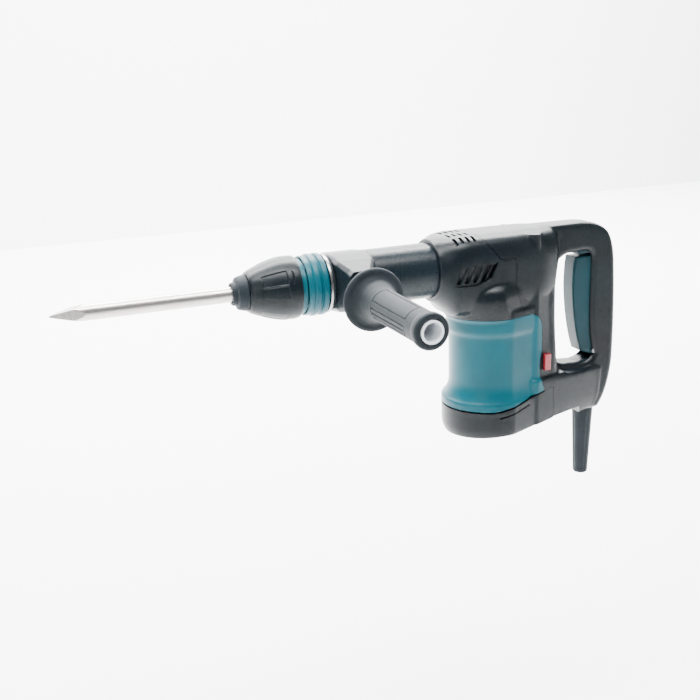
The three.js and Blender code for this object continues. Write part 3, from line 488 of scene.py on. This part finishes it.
# Turned on a lathe. profile is (along, radius); shape may change the radius from place to place.
def turned(name, axis, profile, at=(0, 0, 0), around=96, closed=True, shape=None):
    a = 2 * math.pi * np.arange(around) / around
    order = axes[axis]
    rings = []
    for along, r in profile:
        radius = np.full(around, float(r)) if shape is None else shape(along, float(r), a)
        ring = np.zeros((around, 3))
        ring[:, order[0]] = along
        ring[:, order[1]] = radius * np.cos(a)
        ring[:, order[2]] = radius * np.sin(a)
        rings.append(ring + np.array(at))
    return loftRings(name, rings, wrap=closed)


# A plain round cutter between two places along an axis.
def rodTool(name, axis, start, end, r, at=(0, 0, 0), around=96):
    return turned(name, axis, [(start, 0.01), (start, r), (end, r), (end, 0.01)], at, around, False)


# Rounds the corners of a profile and splits long runs, so that a shape function can work on it.
def softened(profile, radius=0.6, step=0, closed=True):
    points = [np.array(p, float) for p in profile]
    n = len(points)
    out = []
    for i, p in enumerate(points):
        if not closed and i in (0, n - 1):
            out.append(p)
            continue
        a, b = points[i - 1], points[(i + 1) % n]
        reach = min(radius, np.linalg.norm(a - p) * 0.45, np.linalg.norm(b - p) * 0.45)
        before = p + (a - p) / np.linalg.norm(a - p) * reach
        after = p + (b - p) / np.linalg.norm(b - p) * reach
        out += [before, 0.25 * before + 0.5 * p + 0.25 * after, after]
    if step:
        fine = []
        for i, p in enumerate(out):
            q = out[(i + 1) % len(out)]
            fine.append(p)
            if i == len(out) - 1 and not closed:
                break
            parts = int(np.linalg.norm(q - p) // step)
            fine += [p + (q - p) * k / (parts + 1) for k in range(1, parts + 1)]
        out = fine
    return [tuple(p) for p in out]


def ramp(v, low, high):
    t = np.clip((v - low) / (high - low), 0, 1)
    return t * t * (3 - 2 * t)


wall = 3
seam = 0.55

upper = {
    "rows": [(226, 36.5, 36.3, -36, 2), (231, 38.2, 37, -39, 2.2), (238, 40.6, 38.3, -45, 2.8),
             (248, 43.5, 39.3, -54, 3.7), (262, 44, 39.8, -54, 4.2), (300, 44, 39.8, -54, 4.2),
             (352, 42, 39.8, -54, 3.8), (378, 34, 38.8, -50, 3), (390, 22, 37.8, -44, 2.6)],
}
bellyForm = {"rows": [(-60, 253, 51), (-52, 250, 52.4), (-44, 247.2, 53.4), (-34, 245.2, 53.8),
                      (-25, 246.6, 51.6), (-18.5, 250, 46.5)]}
casingForm = {
    "front": 257, "deep": 55, "halfW": 50,
    "rows": [(-174, 8), (-168, 8), (-161, 6.6), (-154, 2.2), (-147, -0.6), (-140, -1.5), (-84, -1.5),
             (-80.5, -1.3), (-77, 0.6), (-74, 1.6), (-64, 1.7), (-50, 0.8)],
}
baseForm = {"rows": [(-210, -6), (-204, -3), (-199, -1.1), (-194, -0.2), (-188, 0), (-160, 0)]}
columnForm = {"rows": [(-200, 396, 36), (-130, 391, 36), (-80, 389, 34), (-20, 388, 33), (20, 387, 30),
                       (36, 384, 22)]}
tailForm = {"rows": [(-204, 450, 14), (-198, 458, 18), (-180, 464, 19), (-150, 466, 19), (-141, 452, 18)]}
loopForm = {
    "start": (350, 39.8),
    "steps": [[(426, 39.2)], [(452, 37.8), (465, 25)], [(475, 12), (476.5, -18)], [(480.5, -72), (479.5, -140)],
              [(475.5, -184), (459.5, -203)], [(445.5, -205)], [(400, -202)], [(350, -195)]],
    "halfW": 17,
}
openingForm = {
    "start": (388, -30),
    "steps": [[(386, -4), (408, 2)], [(433, 3)], [(441, 2), (441, -8)], [(441, -70)],
              [(442, -110), (449, -130)], [(443, -138), (429, -139)], [(406, -137)], [(393, -134),
              (391, -118)], [(389, -80)]],
}


def housingForms(inset, step):
    around = 120 if inset == 0 else 48
    forms = []
    rows = smoothRows(upper["rows"], step)
    forms.append(loftRings("upper", [crossRing(min(x, 390 - inset), w - inset, t - inset, b + inset, n, around)
                                     for x, w, t, b, n in rows]))
    rows = smoothRows(bellyForm["rows"], step)
    forms.append(loftRings("belly", [planRing(min(max(z, -60 + inset), -18.5 - inset), front + inset, 54 - inset,
                                              w - inset, 388 - inset, 26 - inset, 14) for z, front, w in rows]))
    rows = smoothRows(casingForm["rows"], step)
    front, deep, halfW = casingForm["front"], casingForm["deep"], casingForm["halfW"]
    forms.append(loftRings("casing", [planRing(min(max(z, -174 + inset), -50 - inset), front - g + inset,
                                               deep + g - inset, halfW + g * 0.8 - inset, 384 - inset,
                                               34 - inset, 14) for z, g in rows]))
    rows = smoothRows(baseForm["rows"], step)
    forms.append(loftRings("base", [planRing(min(z, -160 - inset), front - 8 - g + inset, deep + 8 + g - inset,
                                             halfW + 6 + g - inset, 384 - inset, 38 - inset, 14)
                                    for z, g in rows]))
    rows = smoothRows(columnForm["rows"], step)
    forms.append(loftRings("column", [planRing(min(max(z, -200 + inset), 36 - inset), 330 + inset, 20 - inset,
                                               42 - inset, back - inset, w - inset, 18) for z, back, w in rows]))
    rows = smoothRows(tailForm["rows"], step)
    forms.append(loftRings("tail", [planRing(min(max(z, -204 + inset), -141 - inset), 330 + inset, 20 - inset,
                                             46 - inset, back - inset, w - inset, 12) for z, back, w in rows]))
    half = loopForm["halfW"] - inset
    outline = inward(curveThrough(loopForm["start"], loopForm["steps"]), inset) if inset else \
        curveThrough(loopForm["start"], loopForm["steps"])
    forms.append(roundedSlab("loop", outline, -half, half, 8, 7))
    return forms


def openingTool(inset):
    outline = curveThrough(openingForm["start"], openingForm["steps"])
    half = loopForm["halfW"] - inset
    rings = []
    for y, grow in [(-60, 9), (-half - 1, 7)] + [
            (-half + 8 * (1 - math.cos(t)), 7 * (1 - math.sin(t))) for t in np.linspace(0.15, math.pi / 2, 7)]:
        rings.append((y, grow))
    rings += [(-y, grow) for y, grow in rings[::-1]]
    return loftRings("opening", [sideRing(inward(outline, -grow - inset), y) for y, grow in rings])


def arcPoints(cx, cz, r, start, end, steps=12):
    return [(cx + r * math.cos(t), cz + r * math.sin(t))
            for t in np.radians(np.linspace(start, end, steps + 1))]


split = {"casingTop": -57.5, "casingBack": 358, "casingLow": -171, "motorX": 310, "baseBottom": -200,
         "baseRise": 4.5}


def underLine(x):
    return split["baseBottom"] + math.tan(math.radians(split["baseRise"])) * (x - split["motorX"])


def casingRegion(grow):
    back, top, low = split["casingBack"] + grow, split["casingTop"] + grow, split["casingLow"] - grow
    corner = arcPoints(split["casingBack"] - 20, split["casingTop"] - 20, 20 + grow, 90, 0)
    lower = curveThrough((back, -106), [[(back - 4, -118), (back - 3.5, -128)],
                                        [(back - 3, -142), (back + 3, low + 14)]])
    return slab("casingRegion", [(200, top)] + corner + [tuple(p) for p in lower]
                + [(split["motorX"] - 18, low + 0.3), (split["motorX"] - 30, low), (200, low)])


def baseRegion(grow):
    low, back = split["casingLow"], split["casingBack"]
    return slab("baseRegion", [(200, low + 2 + grow), (split["motorX"] - 22, low + 2 + grow),
                               (back + 8 + grow, low + 17 + grow), (back + 18 + grow, low + 17 + grow),
                               (back + 18 + grow, -230), (200, -230)])


def frontRegion(grow):
    return slab("frontRegion", [(200, 60), (262 + grow, 60), (283 + grow, 31), (288 + grow, 25 + grow),
                                (299 + grow, 12 + grow), (319 + grow, 11 + grow), (319 + grow, -18),
                                (327 + grow, -56 - seam), (330, -90), (200, -90)])


# The line of the whole underside, base first and then the handle, raised by the given height.
def underTool(raised):
    x = split["casingBack"] + 18
    line = [(180, underLine(180)), (x, underLine(x)), (x + 1.5, -193.6), (423, -192.4), (428.5, -204.5),
            (500, -204.5)]
    return slab("underside", [(px, pz + raised) for px, pz in line] + [(500, -260), (180, -260)])


vents = {"first": 245.5, "pitch": 7.5, "slot": 3.8, "inRow": 4,
         "rows": [(-35, -23), (-17, -4), (4, 17), (23, 35)],
         "louvreFirst": 246, "louvrePitch": 10.2, "louvreCount": 5}


def louvreTools():
    recess = [(236, -9), (248, 9.5), (295, 9.5), (283, -9), (269, -14.5), (242, -14.5)]
    tools = [slab("recess", recess, -60, -41.6), slab("recess", recess, 41.6, 60)]
    for i in range(vents["louvreCount"]):
        x = vents["louvreFirst"] + vents["louvrePitch"] * i - 4
        shape = [(x, -11.5), (x + 5.6, -11.5), (x + 14.6, 7), (x + 9, 7)]
        if i == vents["louvreCount"] - 1:
            shape = [(x - 1, -8), (x + 4, -8), (x + 11, 7), (x + 7, 7)]
        tools.append(slab("louvre", shape))
    return tools


def ventTools():
    tools = []
    for low, high in vents["rows"]:
        for i in range(vents["inRow"]):
            x = vents["first"] + vents["pitch"] * i
            tools.append(block("vent", x, x + vents["slot"], low, high, 20, 60))
    return tools


def makeHousing():
    outer = joined(housingForms(0, 2.5), "outer")
    outer = remeshed(outer, 1.15, 0)
    outer = combine(outer, openingTool(0), "DIFFERENCE")
    outer = remeshed(outer, 1.15, 5)
    inner = remeshed(joined(housingForms(wall + 0.6, 8), "inner"), 2.4, 1)
    inner = combine(inner, openingTool(wall + 0.6), "DIFFERENCE")
    inner = combine(inner, underTool(wall + 0.6), "DIFFERENCE")
    shell = combine(outer, inner, "DIFFERENCE")
    print("stage: housing shell", len(shell.data.polygons))
    front = combine(copied(shell, "frontCover"), frontRegion(-seam / 2), "INTERSECT")
    front = combine(front, casingRegion(seam / 2), "DIFFERENCE")
    front = combine(front, rodTool("mouth", "x", 190, 245, 32.5), "DIFFERENCE")
    for tool in louvreTools() + ventTools():
        front = combine(front, tool, "DIFFERENCE")
    finished(front, "housing", "blackNylon", ["front_cover"])
    casing = combine(copied(shell, "motorCasing"), casingRegion(-seam / 2), "INTERSECT")
    casing = combine(casing, baseRegion(seam / 2), "DIFFERENCE")
    finished(casing, "housing", "tealNylon", ["motor_casing"])
    base = combine(copied(shell, "baseCover"), baseRegion(-seam / 2), "INTERSECT")
    base = combine(base, casingRegion(0), "DIFFERENCE")
    base = combine(base, underTool(0), "DIFFERENCE")
    slot = slab("baseSlot", [(292, -176.5), (336, -167.6), (338, -169), (294, -178.3)], -70, -40)
    base = combine(base, slot, "DIFFERENCE")
    finished(base, "housing", "blackNylon", ["base_cover"])
    rest = combine(shell, frontRegion(seam / 2), "DIFFERENCE")
    for tool in (casingRegion(seam / 2), baseRegion(seam / 2), underTool(0), leverSlot(), lockSlot(),
                 guardHole()):
        rest = combine(rest, tool, "DIFFERENCE")
    left = combine(copied(rest, "rearShellLeft"), block("half", 200, 520, -90, -0.15, -260, 80), "INTERSECT")
    left = combine(left, lampPocket(), "DIFFERENCE")
    right = combine(rest, block("half", 200, 520, 0.15, 90, -260, 80), "INTERSECT")
    right.name = "rearShellRight"
    for x, z, head in handleScrews["places"]:
        right = combine(right, rodTool("bore", "y", head - 1, 90, 4.9, (x, 0, z), 32), "DIFFERENCE")
    finished(left, "housing", "blackNylon", ["rear_shell_left"])
    finished(right, "housing", "blackNylon", ["rear_shell_right"])


lever = {"front": 418, "top": -4, "bottom": -131, "halfW": 12}
lock = {"front": 423, "back": 447, "low": -0.6, "top": 8.6}
lamp = {"x": 364.5, "z": -120, "y": -43, "halfW": 4, "halfH": 10}
handleScrews = {"places": [(372, 23, 26), (461, -171, 10)]}


def leverSlot():
    return block("leverSlot", 410, 458, -12.4, 12.4, -137, -1)


def lockSlot():
    return block("lockSlot", 416.6, 448.4, -12.4, 12.4, -6, 9.2)


def guardHole():
    return rodTool("guardHole", "z", -230, -190, 13.4, (446, 0, 0), 48)


def lampPocket():
    across, up = lamp["halfW"] + 0.5, lamp["halfH"] + 0.4
    return block("lampPocket", lamp["x"] - across, lamp["x"] + across, -90, lamp["y"] + 6,
                 lamp["z"] - up, lamp["z"] + up)


makeHousing()
print("stage: housing")

barrelForm = {"frontX": 103, "backX": 248, "radius": 32, "flange": (6, 2.6), "bore": 21.9,
              "bossFace": 54, "sideX": 123, "sideZ": -3, "boltR": 6.4}


def bossSection(y, x0, x1, halfH, c):
    corners = [(x0 + c, -halfH), (x1 - c, -halfH), (x1, -halfH + c), (x1, halfH - c), (x1 - c, halfH),
               (x0 + c, halfH), (x0, halfH - c), (x0, -halfH + c)]
    return [(x, y, z) for x, z in corners]


def makeBarrel():
    form = barrelForm
    x = form["sideX"]
    start, end, r = form["frontX"], form["backX"], form["radius"]
    flange = form["flange"]
    tube = turned("tube", "x", [(start, 0.01), (start, r - 2), (start + 2, r), (end - flange[0], r),
                                (end - flange[0], r + flange[1]), (end, r + flange[1]), (end, 0.01)],
                  closed=False)
    face = form["bossFace"]
    for side in (1, -1):
        boss = loftRings("boss", [
            bossSection(side * 8, start, x + 26, r - 0.4, 4),
            bossSection(side * (face - 26), start, x + 26, r - 3.5, 4),
            bossSection(side * (face - 6), x - 14, x + 17, 22.5, 5),
            bossSection(side * face, x - 13, x + 16, 21, 5)])
        tube = combine(tube, boss, "UNION")
    tube = remeshed(tube, 1.0, 3)
    trim = [rodTool("bore", "x", 80, 270, form["bore"])]
    for side in (1, -1):
        trim.append(rodTool("bolt", "y", side * (face - 17), side * (face + 16), form["boltR"],
                            (x, 0, form["sideZ"]), 48))
    for tool in trim:
        tube = combine(tube, tool, "DIFFERENCE")
    tube.name = "barrelCast"
    finished(tube, "housing", "barrelPaint", ["barrel"])


sleeve = {"groups": 4, "middle": 163, "upper": 28, "lower": 24, "front": 21.5, "back": 49.5, "depth": 1.5}


# Flat sunk panels in pairs, a fine ridge between the two of a pair, and a small crescent behind.
def sleeveShape(x, r, a):
    if r < 20:
        return np.full(len(a), r)
    out = np.full(len(a), r)
    front, back = sleeve["front"], sleeve["back"]
    along = ramp(x, front, front + 1.6) * (1 - ramp(x, back - 1.2, back))
    for k in range(sleeve["groups"]):
        turn = np.degrees(a) - sleeve["middle"] - 360 / sleeve["groups"] * k
        turn = (turn + 180) % 360 - 180
        for low, high in ((-sleeve["upper"], -0.7), (0.7, sleeve["lower"])):
            half, middle = (high - low) / 2, (high + low) / 2
            inside = ramp(turn, low, low + 1.6) * (1 - ramp(turn, high - 1.6, high))
            flat = r * math.cos(math.radians(half)) / np.cos(np.radians(np.clip(turn - middle, -60, 60)))
            sunk = np.minimum(r - sleeve["depth"] * 0.5, flat + 0.4)
            out = out + (sunk - r) * inside * along * (out >= r)
        crescent = ramp(turn, -27, -24) * (1 - ramp(turn, -4, -1))
        bow = 54.5 + 1.1 * np.cos(np.radians((turn + 14) * 5))
        out = out - 0.9 * crescent * np.clip(1 - np.abs(x - bow) / 0.9, 0, 1)
    return out


def makeSleeve():
    outer = [(9.8, 16.5), (9.8, 21.2), (12, 22.9), (16, 24.8), (22, 27.2), (30, 30.2), (38, 32.6), (45, 34.2),
             (51, 34.9), (58, 34.95), (63.6, 34.5), (64.5, 34.1)]
    inner = [(64.5, 33.5), (52, 33.5), (50, 28), (42, 27), (24, 21.5), (20, 16.5)]
    skin = smoothRows(outer[1:], 0.45)
    profile = [outer[0]] + [tuple(p) for p in skin] + inner
    obj = turned("releaseSleeve", "x", profile, around=420, shape=sleeveShape)
    finished(obj, "sleeve", "sleeveNylon", ["release_sleeve"], 40)
    cap = [(-7, 9.9), (-7, 12.2), (-2, 13.2), (-1, 17.5), (4, 19), (9.4, 20), (9.4, 15.4), (2.6, 15.4),
           (2.6, 9.9)]
    nose = turned("noseCap", "x", softened(cap, 1.2), around=128)
    finished(nose, "holder", "guardRubber", ["nose_cap"])


def makeRings():
    carrier = [(63.4, 19.4), (63.4, 30.6), (70.9, 30.6), (70.9, 19.4)]
    obj = turned("ringCarrier", "x", softened(carrier, 0.8), around=160)
    finished(obj, "holder", "tealNylon", ["ring_carrier"])
    ring = [(71.4, 31), (71.4, 32.6), (72, 33.1), (77, 33.1), (77.8, 32.3), (79.4, 34.5), (84.6, 34.5),
            (86.4, 32.2), (87.6, 32.2), (88.6, 34.5), (93.6, 34.5), (95.5, 32.3), (95.5, 19.4), (77.6, 19.4),
            (77.6, 31)]
    obj = turned("changeRing", "x", softened(ring, 0.9), around=160)
    finished(obj, "ring", "tealNylon", ["change_ring"])
    steel = [(96.4, 15.4), (96.4, 33), (99.6, 33), (99.6, 15.4)]
    obj = turned("retainingRing", "x", softened(steel, 0.9), around=160)
    finished(obj, "housing", "ringSteel", ["retaining_ring"])
    dust = [(100, 15.4), (100, 31), (102.6, 31), (102.6, 15.4)]
    obj = turned("dustRing", "x", softened(dust, 1.0), around=128)
    finished(obj, "housing", "guardRubber", ["dust_ring"])


chiselForm = {"tip": -195, "point": 42, "shaft": 8.5, "shank": 9, "end": 84}


# A round bar ground on four sides to a blunt point, so each ground face is lens-shaped.
def makeChisel():
    form = chiselForm
    rows = smoothRows([(form["tip"], 0.7), (form["tip"] + 10, 3.1), (form["tip"] + 25, 6.4),
                       (form["tip"] + form["point"], 9.9), (form["tip"] + form["point"] + 8, 11)], 0.6)
    around = 96
    a = 2 * math.pi * (np.arange(around) + 0.5) / around
    square = 1 / np.maximum(np.abs(np.cos(a)), np.abs(np.sin(a)))
    stations = [(x, h, form["shaft"]) for x, h in rows]
    stations += [(8, 20, form["shaft"]), (12, 20, form["shank"]), (form["end"], 20, form["shank"])]
    rings = []
    for x, h, full in stations:
        r = np.minimum(full, h * square)
        rings.append(np.stack([np.full(around, x), r * np.cos(a), r * np.sin(a)], 1))
    obj = loftRings("chiselBar", rings)
    tools = []
    for side in (1, -1):
        tools.append(block("groove", 30.4, 51.6, -4.2, 4.2, *sorted((side * 6.6, side * 12))))
        tools.append(block("key", 54, 90, *sorted((side * 6.8, side * 12)), -2.4, 2.4))
    for tool in tools:
        obj = combine(obj, tool, "DIFFERENCE")
    finished(obj, "chisel", "chiselSteel", ["chisel"], 14)
    obj.data.materials.append(finishes["facetSteel"])
    limit = toFrame([form["tip"] + form["point"], 0, 0])[0]
    for face in obj.data.polygons:
        n = face.normal
        flat = max(abs(n.y), abs(n.z)) > 0.955 and abs(n.x) > 0.1
        face.material_index = 1 if face.center.x < limit and flat else 0


makeBarrel()
makeSleeve()
makeRings()
makeChisel()
print("stage: impact end")

grip = {"panels": 4, "middle": 150, "span": 66, "front": -118, "back": -197, "ribs": 3, "depth": 1.5}


def gripShape(y, r, a):
    if not 16 < r < 18.2 or not grip["back"] - 3 < y < grip["front"] + 3:
        return np.full(len(a), r)
    out = np.full(len(a), r)
    near, far = -grip["front"], -grip["back"]
    along = ramp(-y, near, near + 1.4) * (1 - ramp(-y, far - 1.4, far))
    edge = ramp(-y, near + 2.4, near + 4) * (1 - ramp(-y, far - 4, far - 2.4))
    for k in range(grip["panels"]):
        # cos goes with z and sin with x on an axis along y
        turn = (np.degrees(a) - grip["middle"] - 360 / grip["panels"] * k + 180) % 360 - 180
        half = grip["span"] / 2
        rim = np.clip(1 - np.abs(np.abs(turn) - half) / 2.6, 0, 1)
        ends = np.clip(1 - np.abs(along - 0.5) * 2, 0, 1) * (np.abs(turn) < half)
        out = out - grip["depth"] * np.maximum(rim * (along > 0.5), ends)
        if k != 2:
            pitch = 2 * half / (grip["ribs"] + 1)
            wave = 0.5 - 0.5 * np.cos(np.radians((np.abs(turn) + half) / pitch * 360))
            out = out - grip["depth"] * 0.9 * edge * (1 - wave) ** 2 * (np.abs(turn) < half - 6)
    return out


def makeSideHandle():
    at = (barrelForm["sideX"], 0, barrelForm["sideZ"])
    profile = [(-54.4, 6.4), (-54.4, 13.8), (-64, 15.8), (-76, 20), (-81, 26), (-83.4, 32.2), (-86, 34),
               (-88.6, 33.6),
               (-90.4, 31), (-90.2, 27.4), (-91.6, 24.6), (-94.4, 22.8), (-99, 20.6), (-106, 18.6), (-113, 17.6),
               (-118, 17.4), (-197, 16.6), (-208, 16.5), (-212.5, 16.7), (-215.5, 18.1), (-221.6, 18.3),
               (-224, 16.6), (-224, 12.1), (-100, 12.1), (-100, 6.4)]
    soft = softened(profile, 1.4, 0.8)
    obj = turned("sideGrip", "y", soft, at, 300, True, gripShape)
    finished(obj, "side_handle", "gripRubber", ["side_grip"], 45)
    liner = softened([(-225, 9.2), (-225, 11.5), (-100.4, 11.5), (-100.4, 9.2)], 0.5)
    obj = turned("gripLiner", "y", liner, at, 96)
    finished(obj, "side_handle", "whitePlastic", ["grip_liner"])


makeSideHandle()


def makeControls():
    front, top, low, halfW = (lever[k] for k in ("front", "top", "bottom", "halfW"))
    outline = curveThrough((front + 3, top), [[(445, top)], [(446, -60)], [(447, -100), (455, -130)],
                                             [(452, low), (449, low)], [(front + 15, -125)],
                                             [(front + 10, -112), (front + 6, -92)],
                                             [(front + 1, -66), (front, -40)],
                                             [(front, -10), (front + 3, top)]], 10)
    obj = remeshed(roundedSlab("triggerLever", outline[:-1], -halfW, halfW, 2.6, 6), 0.7, 2)
    obj = combine(obj, rodTool("pin", "y", -20, 20, 3.4, (450, 0, -126), 32), "DIFFERENCE")
    finished(obj, "trigger", "leverNylon", ["trigger_lever"], 30)
    x0, x1, z0, z1 = lock["front"], lock["back"], lock["low"], lock["top"]
    outline = curveThrough((x0, z0), [[(x1, z0)], [(x1, z1)], [(x0 + 7, z1)],
                                      [(x0 + 1, z1 - 1), (x0, z1 - 6)]], 8)
    obj = roundedSlab("lockSlider", outline, -halfW, halfW, 1.8, 5)
    finished(obj, "lock", "leverNylon", ["lock_slider"], 30)
    low, high = lamp["x"] - lamp["halfW"], lamp["x"] + lamp["halfW"]
    under, over = lamp["z"] - lamp["halfH"], lamp["z"] + lamp["halfH"]
    outline = [(low, under), (high, under), (high, over), (low, over)]
    obj = roundedSlab("lampLens", outline, lamp["y"] - 1.2, lamp["y"] + 5, 1.3, 4)
    finished(obj, "housing", "lampRed", ["indicator_lamp"])
    guard = [(-295, 5.2), (-295, 8.6), (-293, 9.4), (-209, 12.9), (-201.6, 12.9), (-201.6, 10),
             (-198, 10), (-198, 13),
             (-193, 12), (-193, 5.2)]

    def fluted(z, r, a):
        if not -291 < z < -210 or r < 6:
            return np.full(len(a), r)
        return r - 0.5 * ramp(-z, 212, 218) * (1 - ramp(-z, 284, 290)) * (0.5 + 0.5 * np.cos(8 * a)) ** 3

    obj = turned("cordGuard", "z", softened(guard, 0.8, 1.5), (446, 0, 0), 160, True, fluted)
    finished(obj, "housing", "guardRubber", ["cord_guard"], 40)


makeControls()
print("stage: handles and controls")

carried = {
    "toolSteel": ["tool_holder", "locking_roller_upper", "locking_roller_lower", "impact_bolt",
                  "striker", "cylinder",
                  "crankshaft", "crank_gear", "connecting_rod", "armature_shaft", "wrist_pin", "trigger_pin",
                  "sleeve_spring", "front_bearing"],
    "ringSteel": ["side_bolt", "crank_bearing_upper", "crank_bearing_lower", "armature_bearing_upper",
                  "armature_bearing_lower", "base_screw_1", "base_screw_2", "base_screw_3", "handle_screw_1",
                  "handle_screw_2"],
    "castAlloy": ["crank_case", "crank_case_lid", "piston"],
    "coreSteel": ["armature_core", "field_core"],
    "copper": ["commutator", "field_coil_left", "field_coil_right", "brush_holder_left", "brush_holder_right"],
    "carbon": ["carbon_brush_left", "carbon_brush_right"],
    "blackNylon": ["fan", "fan_baffle", "switch_body"],
    "guardRubber": ["striker_ring", "piston_ring"],
}
for finish, names in carried.items():
    for name in names:
        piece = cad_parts[name]
        piece.data.materials.clear()
        piece.data.materials.append(finishes[finish])
print("stage: carried-over pieces")
